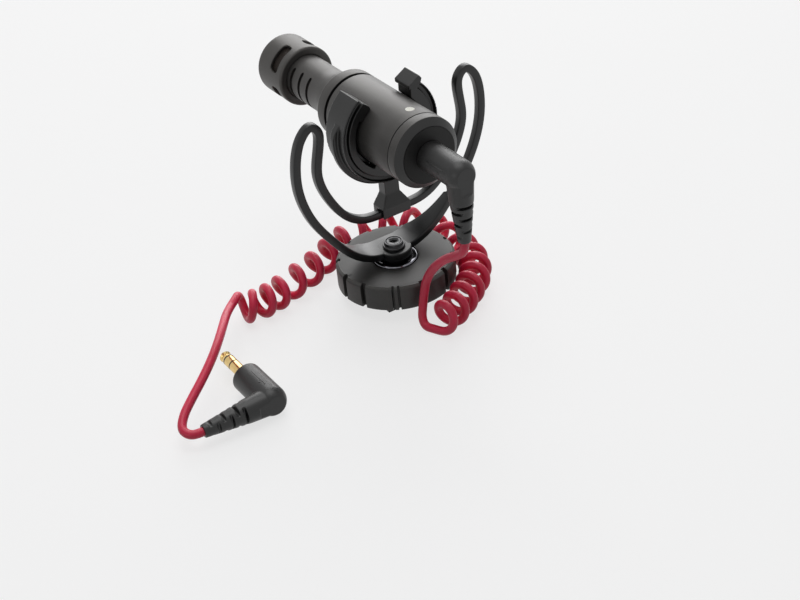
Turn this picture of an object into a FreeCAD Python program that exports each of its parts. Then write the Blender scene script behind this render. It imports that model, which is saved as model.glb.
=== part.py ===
import FreeCAD, Part
import math
import os
import Sketcher

# On camera microphone on a lyre suspension, with its curly cable.
# Millimetres. The origin is the middle of the shoe foot's underside, on the wheel's axis.
# The microphone points along +Y. Stations are measured forward from the tube's rear rim.

document = FreeCAD.newDocument("OnCameraMicrophone")

sizes = {
    # Where the microphone lies over the foot
    "micAxisHeight": 56.5,
    "rimBehindWheel": 22.6,
    # Fits
    "slipGap": 0.05,
    "runningGap": 0.08,
    "cutOver": 1.0,
    # Tube
    "tubeRadius": 10.5,
    "tubeWall": 1.1,
    "tubeFront": 35.3,
    "spigotWall": 0.8,
    "spigotLength": 4.0,
    # Rear ring, end plate and socket
    "grooveWidth": 0.3,
    "grooveDepth": 0.5,
    "ringBand": 3.0,
    "bevelLength": 1.9,
    "endPlateRadius": 8.4,
    "endPlateThickness": 1.4,
    "ringSeat": 0.8,
    "socketRadius": 4.0,
    "socketNoseRadius": 2.9,
    "socketEnd": 14.0,
    # Index dot
    "dotRadius": 1.35,
    "dotStation": 7.2,
    "dotOffset": 0.7,
    "dotDepth": 0.4,
    # Neck
    "seamWidth": 1.2,
    "seamDepth": 0.8,
    "flangeLength": 3.5,
    "flareLength": 10.8,
    "flareEdge": 0.3,
    "neckRadius": 6.95,
    "neckWall": 0.75,
    "neckFront": 69.0,
    "boreTaperStart": 38.5,
    "boreTaperEnd": 46.0,
    "slitStation": 52.4,
    "slitPitch": 4.6,
    "slitWidth": 1.3,
    "slitHalfHeight": 5.3,
    "meshThickness": 0.2,
    "neckMeshRear": 48.5,
    # Capsule
    "carrierRear": 62.5,
    "carrierFloor": 1.0,
    "capsuleRadius": 5.0,
    "capsuleLength": 6.0,
    # Front cap
    "capRadius": 9.35,
    "capWall": 0.9,
    "capRear": 63.7,
    "capRearWall": 1.5,
    "capFront": 78.1,
    "capFrontWall": 1.0,
    "capOpeningRadius": 5.8,
    "capEdgeRound": 1.5,
    "capRimRound": 0.8,
    "capSlotRear": 66.3,
    "capSlotWidth": 4.1,
    "capSlotSpan": 36.0,
    "capSlotMiddle": 131.5,
    "capSlotCount": 4,
    # Circuit board
    "boardRear": 15.0,
    "boardLength": 16.0,
    "boardWidth": 18.4,
    "boardThickness": 1.2,
    "copperThickness": 0.1,
    "copperMargin": 1.5,
    "chipLength": 4.0,
    "chipWidth": 5.0,
    "chipHeight": 1.3,
    "canRadius": 2.0,
    "canHeight": 4.5,
    # Clip: a thick C round the tube with a channel in its rear face, a flange, a tab and a stem
    "clipGap": 0.1,
    "clipRear": 17.2,
    "clipLength": 9.4,
    "clipRadius": 15.9,
    "clipStart": 127.0,
    "clipEnd": 405.0,
    "channelRadius": 14.0,
    "channelWidth": 1.5,
    "channelDepth": 1.3,
    "reliefRadius": 11.8,
    "reliefDepth": 3.2,
    "reliefStart": 146.0,
    "reliefSpan": 90.0,
    "clipFlangeRear": 20.0,
    "clipFlangeThickness": 2.2,
    "clipFlangeRadius": 17.4,
    "clipFlangeLeft": 174.0,
    "clipFlangeRight": 355.0,
    "clipFlangeFade": 16.0,
    "clipFlangeChamfer": 0.4,
    "leftTipRadius": 11.6,
    "leftTipAngle": 121.8,
    "leftTipInnerAngle": 123.5,
    "rightArmLength": 6.5,
    "rightArmStart": 375.0,
    "tabLength": 7.3,
    "stemHalfWidth": 2.45,
    "stemDepth": 3.6,
    "stemFlareHeight": 3.6,
    "stemFootRise": 0.7,
    "stemFootHalfWidth": 4.7,
    "stemFootWall": 0.9,
    "stemFootFront": 1.4,
    # Lyre: a closed band in a plane that leans back
    "lyreBand": 2.4,
    "lyreDepth": 2.4,
    "lyreHalfWidth": 31.4,
    "lyreFootHeight": 14.2,
    "lyreSeatHeight": 29.5,
    "lyreTipHeight": 67.6,
    "lyreFootRear": 1.7,
    "lyreLean": 5.7,
    "webFront": 7.0,
    "webHalfWidth": 9.0,
    "webEnd": 20.5,
    "webEndFront": 0.4,
    "webTop": 26.0,
    "bossRadius": 5.2,
    # Screw and washer
    "screwRadius": 1.5,
    "screwEnd": 6.5,
    "screwHeadRadius": 2.3,
    "screwHeadHeight": 1.1,
    "hexFlats": 2.2,
    "hexDepth": 0.8,
    "washerRadius": 3.4,
    "washerStepRadius": 2.9,
    "washerStepHeight": 0.9,
    "washerHeight": 1.9,
    "washerFloor": 0.7,
    # Wheel and hub ring
    "wheelRadius": 18.0,
    "wheelBottom": 4.2,
    "wheelTop": 12.0,
    "wheelTopRound": 0.9,
    "wheelBottomRound": 0.5,
    "wheelDish": 0.3,
    "wheelLand": 2.0,
    "recessRadius": 7.0,
    "recessDepth": 1.2,
    "hubRingRadius": 5.4,
    "hubRingStand": 0.15,
    "hubRingRound": 0.5,
    "notchWidth": 1.3,
    "notchDepth": 1.3,
    "narrowNotchWidth": 0.6,
    # Shoe foot
    "footWidth": 18.6,
    "footLength": 18.0,
    "footThickness": 2.0,
    "footNeckRadius": 6.2,
    "footNeckTop": 4.1,
    "postRadius": 3.15,
    "insertOuterRadius": 5.4,
    "insertBoreRadius": 4.0,
    "insertLength": 3.6,
    # Right angle plugs
    "plugSeatGap": 0.05,
    "barrelRadius": 4.4,
    "barrelLength": 14.0,
    "facetBehind": 3.2,
    "facetDrop": 5.2,
    "barrelNoseRound": 0.4,
    "legTopRadius": 4.0,
    "legRadius": 3.5,
    "legLength": 7.6,
    "reliefEndRadius": 1.9,
    "reliefLength": 13.5,
    "reliefSlotHeight": 0.9,
    "reliefSlotPitch": 2.0,
    "reliefSlotCount": 6,
    "reliefSlotStart": 8.6,
    "reliefCoreRadius": 1.5,
    "contactRadius": 1.75,
    "sleeveLength": 6.6,
    "insulatorLength": 0.5,
    "contactRingLength": 2.6,
    "tipLength": 3.8,
    "tipShoulder": 2.2,
    "tipWaistRadius": 1.35,
    "tipEndRadius": 0.5,
    # Where the far plug lies: its elbow's place from the wheel's axis
    "farPlugLeft": 60.6,
    "farPlugBehind": 28.4,
    "farPlugHeight": 4.6,
    # Cable
    "cordRadius": 1.3,
    "curlRadius": 3.8,
    "curlCount": 20,
    "tightCurlCount": 7,
    "tightCurlPitch": 5.5,
    "endCurlCount": 3,
    "endCurlPitch": 5.0,
}

sheet = document.addObject("Spreadsheet::Sheet", "Sizes")
for row, (name, value) in enumerate(sizes.items(), 1):
    sheet.set(f"A{row}", name)
    sheet.set(f"B{row}", str(value))
    sheet.setAlias(f"B{row}", name)
document.recompute()


# A size keeps its value and the cells that it comes from, through sums and products.
class Size:
    def __init__(self, value, text):
        self.value = value
        self.text = text

    def __add__(self, other):
        other = sized(other)
        return Size(self.value + other.value, f"({self.text} + {other.text})")

    def __radd__(self, other):
        return sized(other) + self

    def __sub__(self, other):
        other = sized(other)
        return Size(self.value - other.value, f"({self.text} - {other.text})")

    def __rsub__(self, other):
        return sized(other) - self

    def __mul__(self, other):
        other = sized(other)
        return Size(self.value * other.value, f"({self.text} * {other.text})")

    def __rmul__(self, other):
        return sized(other) * self

    def __truediv__(self, other):
        other = sized(other)
        return Size(self.value / other.value, f"({self.text} / {other.text})")

    def __rtruediv__(self, other):
        return sized(other) / self

    def __neg__(self):
        return Size(-self.value, f"(0 - {self.text})")

    def __float__(self):
        return float(self.value)


def sized(number):
    if isinstance(number, Size):
        return number
    return Size(float(number), repr(float(number)))


def cell(name):
    return Size(float(sheet.get(name)), "Sizes." + name)


class Cells:
    def __init__(self, names):
        for name in names:
            setattr(self, name, cell(name))


s = Cells(sizes)


# Places and turns, as expressions
def turn(x, y, z, angle):
    return f"rotation(vector({x}; {y}; {z}); {sized(angle).text})"


upright = turn(0, 0, 1, 0)
quarterTurn = 90
halfTurn = 180
fullTurn = 360
forward = turn(1, 0, 0, -quarterTurn)
rearward = turn(1, 0, 0, quarterTurn)
leftToRight = turn(0, 1, 0, quarterTurn)


def place(x, y, z, rotation=upright):
    texts = [sized(value).text for value in (x, y, z)]
    return f"placement(vector({texts[0]}; {texts[1]}; {texts[2]}); {rotation})"


# A place beside the microphone's axis, at a station forward of the rear rim
def onMic(station, rotation=forward, x=0, z=0):
    return place(x, sized(station) - s.rimBehindWheel, s.micAxisHeight + z, rotation)


def primitive(kind, name, where, **lengths):
    made = document.addObject("Part::" + kind, name)
    for key, length in lengths.items():
        made.setExpression(key, sized(length).text)
    made.setExpression("Placement", where)
    return made


def cylinder(name, radius, height, where, angle=fullTurn):
    return primitive("Cylinder", name, where, Radius=radius, Height=height, Angle=angle)


def box(name, length, width, height, where):
    return primitive("Box", name, where, Length=length, Width=width, Height=height)


def fused(name, *pieces):
    made = document.addObject("Part::MultiFuse", name)
    made.Shapes = list(pieces)
    return made


def cut(name, base, *tools):
    made = document.addObject("Part::Cut", name)
    made.Base = base
    made.Tool = tools[0] if len(tools) == 1 else fused(name + "Tools", *tools)
    return made


def common(name, *pieces):
    made = document.addObject("Part::MultiCommon", name)
    made.Shapes = list(pieces)
    return made


# Sub-parts by the name of their file
subparts = {}


def keep(name, made, where=None):
    made.Label = name
    if where:
        made.setExpression("Placement", where)
    subparts[name] = made
    return made


# The centre of an arc from one corner to the next, on its left side for a positive radius
def arcCentre(start, end, radius):
    middle = (start + end) * 0.5
    chord = end - start
    across = FreeCAD.Vector(-chord.y, chord.x, 0).normalize()
    reach = math.sqrt(max(radius ** 2 - (chord.Length / 2) ** 2, 0))
    return middle + across * math.copysign(reach, radius)


# A piece turned on a lathe: corners are (radius, height) or (radius, height, radius of the arc
# to the next corner, positive where its centre is on the left).
def turned(name, corners, where):
    body = document.addObject("PartDesign::Body", name + "Body")
    sketch = body.newObject("Sketcher::SketchObject", name + "Profile")
    plane = next(item for item in body.Origin.OriginFeatures if item.Role == "XZ_Plane")
    sketch.AttachmentSupport = [(plane, "")]
    sketch.MapMode = "FlatFace"
    points = [FreeCAD.Vector(float(corner[0]), float(corner[1]), 0) for corner in corners]
    ends = []
    for index, corner in enumerate(corners):
        start = points[index]
        end = points[(index + 1) % len(points)]
        if len(corner) == 2:
            line = sketch.addGeometry(Part.LineSegment(start, end), False)
            ends.append((line, 1, 2))
            continue
        radius = sized(corner[2])
        centre = arcCentre(start, end, radius.value)
        leftward = radius.value > 0
        first, last = (start, end) if leftward else (end, start)
        firstAngle = math.atan2(first.y - centre.y, first.x - centre.x)
        lastAngle = math.atan2(last.y - centre.y, last.x - centre.x)
        circle = Part.Circle(centre, FreeCAD.Vector(0, 0, 1), abs(radius.value))
        arc = sketch.addGeometry(Part.ArcOfCircle(circle, firstAngle, lastAngle), False)
        held = sketch.addConstraint(Sketcher.Constraint("Radius", arc, abs(radius.value)))
        length = radius if leftward else -radius
        sketch.setExpression(f"Constraints[{held}]", length.text)
        ends.append((arc, 1, 2) if leftward else (arc, 2, 1))
    for index, (edge, start, end) in enumerate(ends):
        follower, followerStart, _ = ends[(index + 1) % len(ends)]
        sketch.addConstraint(Sketcher.Constraint("Coincident", edge, end, follower, followerStart))
        for kind, length in zip(("DistanceX", "DistanceY"), corners[index]):
            length = sized(length)
            held = sketch.addConstraint(Sketcher.Constraint(kind, -1, 1, edge, start, length.value))
            sketch.setExpression(f"Constraints[{held}]", length.text)
    solid = body.newObject("PartDesign::Revolution", name + "Turned")
    solid.Profile = sketch
    solid.ReferenceAxis = (sketch, ["V_Axis"])
    solid.Angle = fullTurn
    body.setExpression("Placement", where)
    document.recompute()
    return body


# Rounds the circular edges of a turned body that pass through the given (radius, height) corners
def rounded(body, radius, *corners):
    base = body.Tip
    names = []
    for index, edge in enumerate(base.Shape.Edges, 1):
        if not isinstance(edge.Curve, Part.Circle):
            continue
        for corner in corners:
            near = abs(edge.Curve.Radius - float(corner[0])) + abs(edge.Curve.Center.z - float(corner[1]))
            if near < float(s.slipGap) / 2:
                names.append(f"Edge{index}")
    fillet = body.newObject("PartDesign::Fillet", body.Name + "Round" + str(len(body.Group)))
    fillet.Base = (base, names)
    fillet.setExpression("Radius", sized(radius).text)
    body.Tip = fillet
    document.recompute()
    return body


# A sector of a ring about the microphone's axis; angles run from +X towards +Z
def ringSector(name, inner, outer, rear, length, start, span):
    where = onMic(sized(rear) + length, rearward + " * " + turn(0, 0, 1, start))
    whole = cylinder(name + "Outer", outer, length, where, span)
    over = onMic(sized(rear) + length + s.cutOver, rearward)
    bore = cylinder(name + "Bore", inner, sized(length) + 2 * s.cutOver, over)
    return cut(name, whole, bore)


# Tube, rear ring, end plate and socket
tubeBore = s.tubeRadius - s.tubeWall
spigotRadius = tubeBore - s.slipGap
ringFront = s.ringBand + s.grooveWidth


def makeTube():
    tube = turned("Tube", [
        (s.tubeRadius, ringFront),
        (s.tubeRadius, s.tubeFront),
        (tubeBore, s.tubeFront),
        (tubeBore, ringFront),
    ], onMic(0))
    dotPlace = onMic(s.dotStation, upright, s.dotOffset)
    drill = cylinder("DotDrill", s.dotRadius, s.tubeRadius + s.cutOver, dotPlace)
    core = cylinder("DotCore", s.tubeRadius - s.dotDepth, s.tubeFront, onMic(0))
    pocket = cut("DotPocket", drill, core)
    keep("main_tube", cut("MainTube", tube, pocket))
    plug = cylinder("DotPlug", s.dotRadius - s.slipGap, s.tubeRadius + s.cutOver, dotPlace)
    shell = cylinder("DotShell", s.tubeRadius, s.tubeFront, onMic(0))
    dotCore = cylinder("DotFloor", s.tubeRadius - s.dotDepth, s.tubeFront, onMic(0))
    keep("index_dot", cut("IndexDot", common("DotCap", plug, shell), dotCore))


def makeRearEnd():
    keep("rear_ring", turned("RearRing", [
        (s.tubeRadius, 0),
        (s.tubeRadius, s.ringBand),
        (s.tubeRadius - s.grooveDepth, s.ringBand),
        (s.tubeRadius - s.grooveDepth, ringFront),
        (spigotRadius, ringFront),
        (spigotRadius, ringFront + s.spigotLength),
        (s.endPlateRadius - s.ringSeat, ringFront + s.spigotLength),
        (s.endPlateRadius - s.ringSeat, s.endPlateThickness - s.bevelLength),
        (s.endPlateRadius, s.endPlateThickness - s.bevelLength),
        (s.endPlateRadius, -s.bevelLength),
    ], onMic(0)))
    plate = turned("EndPlate", [
        (s.socketNoseRadius + s.slipGap, -s.bevelLength),
        (s.endPlateRadius - s.slipGap, -s.bevelLength),
        (s.endPlateRadius - s.slipGap, s.endPlateThickness - s.bevelLength),
        (s.socketNoseRadius + s.slipGap, s.endPlateThickness - s.bevelLength),
    ], onMic(0))
    keep("end_plate", plate)
    bore = s.contactRadius + s.slipGap
    socket = turned("JackSocket", [
        (bore, -s.bevelLength),
        (s.socketNoseRadius, -s.bevelLength),
        (s.socketNoseRadius, s.endPlateThickness - s.bevelLength),
        (s.socketRadius, s.endPlateThickness - s.bevelLength),
        (s.socketRadius, s.socketEnd),
        (bore, s.socketEnd),
    ], onMic(0))
    keep("jack_socket", socket)


# Neck with its flare and slits, the screens and the capsule
flangeFront = s.tubeFront + s.seamWidth + s.flangeLength
neckBore = s.neckRadius - s.neckWall


def makeNeck():
    flareRise = s.tubeRadius - s.flareEdge - s.neckRadius
    flareRadius = (s.flareLength * s.flareLength + flareRise * flareRise) / (2 * flareRise)
    flareStart = flangeFront + s.flareEdge
    spigotBore = spigotRadius - s.spigotWall
    neck = turned("Neck", [
        (spigotRadius, s.tubeFront - s.spigotLength),
        (spigotRadius, s.tubeFront),
        (s.tubeRadius - s.seamDepth, s.tubeFront),
        (s.tubeRadius - s.seamDepth, s.tubeFront + s.seamWidth),
        (s.tubeRadius, s.tubeFront + s.seamWidth),
        (s.tubeRadius, flangeFront),
        (s.tubeRadius - s.flareEdge, flareStart, -flareRadius),
        (s.neckRadius, flareStart + s.flareLength),
        (s.neckRadius, s.neckFront),
        (neckBore, s.neckFront),
        (neckBore, s.boreTaperEnd),
        (spigotBore, s.boreTaperStart),
        (spigotBore, s.tubeFront - s.spigotLength),
    ], onMic(0))
    tools = []
    reach = s.neckRadius + s.cutOver
    straight = s.slitHalfHeight - s.slitWidth / 2
    for index in range(3):
        station = s.slitStation + index * s.slitPitch
        corner = onMic(station - s.slitWidth / 2, upright, -reach, -straight)
        tools.append(box(f"Slit{index}", 2 * reach, s.slitWidth, 2 * straight, corner))
        for side in (-1, 1):
            where = onMic(station, leftToRight, -reach, side * straight)
            tools.append(cylinder(f"SlitEnd{index}", s.slitWidth / 2, 2 * reach, where))
    keep("neck_body", cut("NeckBody", neck, *tools))
    mesh = turned("NeckMesh", [
        (neckBore - s.slipGap - s.meshThickness, s.neckMeshRear),
        (neckBore - s.slipGap, s.neckMeshRear),
        (neckBore - s.slipGap, s.carrierRear),
        (neckBore - s.slipGap - s.meshThickness, s.carrierRear),
    ], onMic(0))
    keep("neck_mesh", mesh)


def makeCapsule():
    carrierRadius = neckBore - s.slipGap
    cavity = s.capsuleRadius + s.slipGap
    floor = s.carrierRear + s.carrierFloor
    carrier = turned("CapsuleCarrier", [
        (0, s.carrierRear),
        (carrierRadius, s.carrierRear),
        (carrierRadius, s.neckFront),
        (cavity, s.neckFront),
        (cavity, floor),
        (0, floor),
    ], onMic(0))
    keep("capsule_carrier", carrier)
    keep("capsule", cylinder("Capsule", s.capsuleRadius, s.capsuleLength, onMic(floor)))


# Front cap with its slots, and the screen inside it
def makeCap():
    capBore = s.capRadius - s.capWall
    outline = [
        (s.neckRadius + s.slipGap, s.capRear),
        (s.capRadius, s.capRear),
        (s.capRadius, s.capFront),
        (s.capOpeningRadius, s.capFront),
        (s.capOpeningRadius, s.capFront - s.capFrontWall),
        (capBore, s.capFront - s.capFrontWall),
        (capBore, s.capRear + s.capRearWall),
        (s.neckRadius + s.slipGap, s.capRear + s.capRearWall),
    ]
    cap = turned("FrontCap", outline, onMic(0))
    rounded(cap, s.capEdgeRound, outline[2])
    rounded(cap, s.capRimRound, outline[1])
    tools = []
    reach = s.capRadius + s.cutOver
    middleStation = s.capSlotRear + s.capSlotWidth / 2
    for index in range(int(float(s.capSlotCount))):
        middle = s.capSlotMiddle + index * fullTurn / s.capSlotCount
        start = middle - s.capSlotSpan / 2
        spun = rearward + " * " + turn(0, 0, 1, start)
        slotFront = onMic(s.capSlotRear + s.capSlotWidth, spun)
        tools.append(cylinder(f"CapSlot{index}", reach, s.capSlotWidth, slotFront, s.capSlotSpan))
        for end in (start, start + s.capSlotSpan):
            outward = turn(0, 1, 0, quarterTurn - end)
            where = onMic(middleStation, outward)
            tools.append(cylinder(f"CapSlotEnd{index}", s.capSlotWidth / 2, reach, where))
    keep("front_cap", cut("FrontCapSlotted", cap, *tools))
    meshRadius = capBore - s.clipGap
    meshFront = s.capFront - s.capFrontWall
    mesh = turned("CapMesh", [
        (meshRadius - s.meshThickness, s.capRear + s.capRearWall),
        (meshRadius, s.capRear + s.capRearWall),
        (meshRadius, meshFront),
        (0, meshFront),
        (0, meshFront - s.meshThickness),
        (meshRadius - s.meshThickness, meshFront - s.meshThickness),
    ], onMic(0))
    keep("cap_mesh", mesh)


# Amplifier board across the tube, with its parts on a copper layer
def makeBoard():
    corner = onMic(s.boardRear, upright, -s.boardWidth / 2, -s.boardThickness / 2)
    keep("circuit_board", box("Board", s.boardWidth, s.boardLength, s.boardThickness, corner))
    top = s.boardThickness / 2
    copperWidth = s.boardWidth - 2 * s.copperMargin
    copperLength = s.boardLength - 2 * s.copperMargin
    copperRear = s.boardRear + s.copperMargin
    copperPlace = onMic(copperRear, upright, -copperWidth / 2, top)
    pieces = [box("Copper", copperWidth, copperLength, s.copperThickness, copperPlace)]
    onCopper = top + s.copperThickness
    for column in range(2):
        for row in range(2):
            x = column * (s.chipWidth + s.copperMargin) - copperWidth / 2
            station = copperRear + row * (s.chipLength + s.copperMargin)
            where = onMic(station, upright, x, onCopper)
            pieces.append(box("Chip", s.chipWidth, s.chipLength, s.chipHeight, where))
    for row in range(2):
        station = copperRear + s.canRadius + row * (2 * s.canRadius + s.copperMargin)
        where = onMic(station, upright, copperWidth / 2 - s.canRadius, onCopper)
        pieces.append(cylinder("Can", s.canRadius, s.canHeight, where))
    keep("board_parts", fused("BoardParts", *pieces))


# Clip
def polar(radius, degrees):
    angle = math.radians(float(degrees))
    height = float(s.micAxisHeight)
    return FreeCAD.Vector(float(radius) * math.cos(angle), 0, height + float(radius) * math.sin(angle))


def arcThrough(first, middle, last):
    return Part.Arc(first, middle, last).toShape()


# A prism along the microphone's axis from points in its cross-section
def axialPrism(name, points, rear, length):
    face = Part.Face(Part.makePolygon(points + points[:1]))
    face.translate(FreeCAD.Vector(0, float(rear - s.rimBehindWheel), 0))
    made = document.addObject("Part::Feature", name)
    made.Shape = face.extrude(FreeCAD.Vector(0, float(length), 0))
    return made


# The flange stands on the C's lower side, and fades into it at both ends
def clipFlange():
    wide = s.clipFlangeRadius
    root = s.clipRadius - s.clipGap
    inner = s.channelRadius
    start = s.clipFlangeLeft - s.clipFlangeFade
    end = s.clipFlangeRight + s.clipFlangeFade
    middle = (s.clipFlangeLeft + s.clipFlangeRight) / 2
    fadeRadius = (root + 2 * wide) / 3
    leftFade = s.clipFlangeLeft - s.clipFlangeFade / 2
    rightFade = s.clipFlangeRight + s.clipFlangeFade / 2
    wire = Part.Wire([
        arcThrough(polar(root, start), polar(fadeRadius, leftFade), polar(wide, s.clipFlangeLeft)),
        arcThrough(polar(wide, s.clipFlangeLeft), polar(wide, middle), polar(wide, s.clipFlangeRight)),
        arcThrough(polar(wide, s.clipFlangeRight), polar(fadeRadius, rightFade), polar(root, end)),
        Part.LineSegment(polar(root, end), polar(inner, end)).toShape(),
        arcThrough(polar(inner, end), polar(inner, middle), polar(inner, start)),
        Part.LineSegment(polar(inner, start), polar(root, start)).toShape(),
    ])
    rear = float(s.clipFlangeRear - s.rimBehindWheel)
    solid = Part.Face(wire).extrude(FreeCAD.Vector(0, float(s.clipFlangeThickness), 0))
    solid.translate(FreeCAD.Vector(0, rear, 0))
    edges = []
    for edge in solid.Edges:
        curved = isinstance(edge.Curve, Part.Circle)
        if curved and abs(edge.Curve.Radius - float(wide)) < float(s.slipGap):
            edges.append(edge)
    made = document.addObject("Part::Feature", "ClipFlange")
    made.Shape = solid.makeChamfer(float(s.clipFlangeChamfer), edges)
    return made


def rectangle(half, rear, front, height):
    corners = [(-half, -rear), (half, -rear), (half, front), (-half, front)]
    points = [FreeCAD.Vector(float(x), float(y), float(height)) for x, y in corners]
    return Part.makePolygon(points + points[:1])


# The stem goes down from the C, flares out and holds the lyre's inner arc between two walls
def clipStem():
    top = s.micAxisHeight - s.channelRadius
    footTop = s.lyreSeatHeight + s.lyreBand / 2 + s.stemFootRise
    waist = footTop + s.stemFlareHeight
    bottom = s.lyreSeatHeight - s.lyreBand / 2
    rear = s.rimBehindWheel - s.clipFlangeRear
    neck = (s.stemHalfWidth, rear, s.stemDepth - rear)
    foot = (s.stemFootHalfWidth, lyreRearAtSeat() + s.clipGap + s.stemFootWall, s.stemFootFront)
    levels = [(*neck, top), (*neck, waist), (*foot, footTop), (*foot, bottom)]
    parts = [Part.makeLoft([rectangle(*first), rectangle(*second)], True, True)
             for first, second in zip(levels, levels[1:])]
    made = document.addObject("Part::Feature", "ClipStem")
    made.Shape = parts[0].fuse(parts[1:])
    return made


# The right arm's tab in cross-section, in shares of the C's radius
tabStemShares = [(0.478, 0.629), (0.585, 0.755), (0.736, 0.780)]
tabHeadShares = [(0.447, 0.635), (0.447, 0.717), (0.686, 0.855), (0.736, 0.780)]


def tabPoints(shares):
    unit = float(s.clipRadius)
    height = float(s.micAxisHeight)
    return [FreeCAD.Vector(x * unit, 0, height + z * unit) for x, z in shares]


def makeClip():
    inner = s.tubeRadius + s.clipGap
    span = s.clipEnd - s.clipStart
    arms = ringSector("ClipArms", inner, s.clipRadius, s.clipRear, s.clipLength, s.clipStart, span)
    armRoom = ringSector("RightArmRoom", inner - s.cutOver, s.clipRadius + s.cutOver,
                         s.clipRear + s.rightArmLength, s.clipLength,
                         s.rightArmStart, s.clipEnd - s.rightArmStart)
    ring = cut("ClipRing", arms, armRoom)
    tipPoints = [polar(s.clipRadius, s.clipStart), polar(s.leftTipRadius, s.leftTipAngle),
                 polar(inner, s.leftTipInnerAngle), polar(inner, s.clipStart)]
    tip = axialPrism("ClipTip", tipPoints, s.clipRear, s.clipLength)
    stemPoints = [polar(inner, s.clipEnd), *tabPoints(tabStemShares), polar(s.clipRadius, s.clipEnd)]
    tabStem = axialPrism("TabStem", stemPoints, s.clipRear, s.rightArmLength)
    tabHead = axialPrism("TabHead", tabPoints(tabHeadShares), s.clipRear, s.tabLength)
    whole = fused("ClipWhole", ring, tip, tabStem, tabHead, clipFlange(), clipStem())
    channel = ringSector("ClipChannel", s.channelRadius, s.channelRadius + s.channelWidth,
                         s.clipRear - s.cutOver, s.channelDepth + s.cutOver,
                         s.leftTipAngle, s.clipEnd - s.leftTipAngle)
    relief = ringSector("ClipRelief", inner - s.cutOver, s.reliefRadius,
                        s.clipRear - s.cutOver, s.reliefDepth + s.cutOver,
                        s.reliefStart, s.reliefSpan)
    lyreRoom = document.addObject("Part::Feature", "LyreRoom")
    lyreRoom.Shape = lyreLayer(s.clipGap, s.lyreDepth)
    keep("mic_clip", cut("MicClip", whole, channel, relief, lyreRoom))


# How far the lyre's rear face lies behind the wheel's axis at the seat's height
def lyreRearAtSeat():
    rise = s.lyreSeatHeight - s.lyreFootHeight
    return s.lyreFootRear + rise * math.tan(math.radians(float(s.lyreLean)))


plateBottom = s.lyreFootHeight - s.lyreBand / 2
plateTop = s.lyreFootHeight + s.lyreBand / 2


# Lyre: half of its centreline, in shares of its half width and of the height to the tip
outerShares = [(0, 0), (0.13, 0), (0.254, 0.015), (0.476, 0.099), (0.698, 0.259), (0.841, 0.390),
               (0.921, 0.493), (0.990, 0.653), (0.994, 0.790), (0.962, 0.895), (0.898, 0.970), (0.820, 1)]
innerShares = [(0.758, 0.955), (0.743, 0.855), (0.768, 0.724), (0.784, 0.592), (0.749, 0.447),
               (0.654, 0.276), (0.508, 0.108), (0.333, 0.018), (0.159, 0), (0, 0)]


def lyreCentreline():
    half = float(s.lyreHalfWidth)
    foot = float(s.lyreFootHeight)
    seat = float(s.lyreSeatHeight)
    tip = float(s.lyreTipHeight)
    right = [(x * half, foot + z * (tip - foot)) for x, z in outerShares]
    right += [(x * half, seat + z * (tip - seat)) for x, z in innerShares]
    left = [(-x, z) for x, z in reversed(right[1:-1])]
    curve = Part.BSplineCurve()
    curve.interpolate([FreeCAD.Vector(x, 0, z) for x, z in right + left], PeriodicFlag=True)
    return curve


# The centreline moved sideways by half of the band, as a closed curve
def lyreEdge(centreline, offset):
    count = 6 * len(outerShares + innerShares)
    length = centreline.length()
    moved = []
    for index in range(count):
        at = centreline.parameterAtDistance(length * index / count, centreline.FirstParameter)
        point = centreline.value(at)
        along = centreline.tangent(at)[0]
        moved.append(point + FreeCAD.Vector(along.z, 0, -along.x) * offset)
    curve = Part.BSplineCurve()
    curve.interpolate(moved, PeriodicFlag=True)
    return Part.Wire(curve.toShape())


# The lyre's band, thicker all round by a gap, through a depth that starts at its rear face
def lyreLayer(gap, depth):
    centreline = lyreCentreline()
    half = float(s.lyreBand / 2 + gap)
    wires = [lyreEdge(centreline, half), lyreEdge(centreline, -half)]
    wires.sort(key=lambda wire: wire.BoundBox.DiagonalLength)
    foot = FreeCAD.Vector(0, 0, float(s.lyreFootHeight))
    layers = []
    for wire in wires:
        face = Part.Face(wire)
        face.rotate(foot, FreeCAD.Vector(1, 0, 0), float(s.lyreLean))
        face.translate(FreeCAD.Vector(0, -float(s.lyreFootRear + gap), 0))
        layers.append(face.extrude(FreeCAD.Vector(0, float(depth + 2 * gap), 0)))
    return layers[1].cut(layers[0])


def makeLyre():
    thin = lyreLayer(0, s.lyreDepth)
    wide = lyreLayer(0, s.webFront + s.lyreFootRear + s.cutOver)
    front = float(s.webFront)
    half = float(s.webHalfWidth)
    end = float(s.webEnd)
    endFront = float(s.webEndFront)
    plan = [(-end, -front), (end, -front), (end, endFront), (half, front), (-half, front), (-end, endFront)]
    corners = [FreeCAD.Vector(x, y, 0) for x, y in plan]
    prism = Part.Face(Part.makePolygon(corners + corners[:1]))
    prism = prism.extrude(FreeCAD.Vector(0, 0, float(s.webTop)))
    boss = Part.makeCylinder(float(s.bossRadius), float(s.lyreBand), FreeCAD.Vector(0, 0, float(plateBottom)))
    hole = Part.makeCylinder(float(s.screwRadius + s.slipGap), float(s.webTop))
    washerSeat = Part.makeCylinder(float(s.washerRadius + s.slipGap), float(s.washerHeight),
                                   FreeCAD.Vector(0, 0, float(plateTop)))
    postSeat = Part.makeCylinder(float(s.bossRadius), float(plateBottom))
    made = document.addObject("Part::Feature", "Lyre")
    solid = thin.fuse([wide.common(prism), boss]).cut([hole, washerSeat, postSeat])
    made.Shape = solid.removeSplitter()
    keep("lyre", made)


# Screw, washer, hub ring, wheel and foot, all on the wheel's axis
postBore = s.postRadius + s.runningGap


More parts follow.
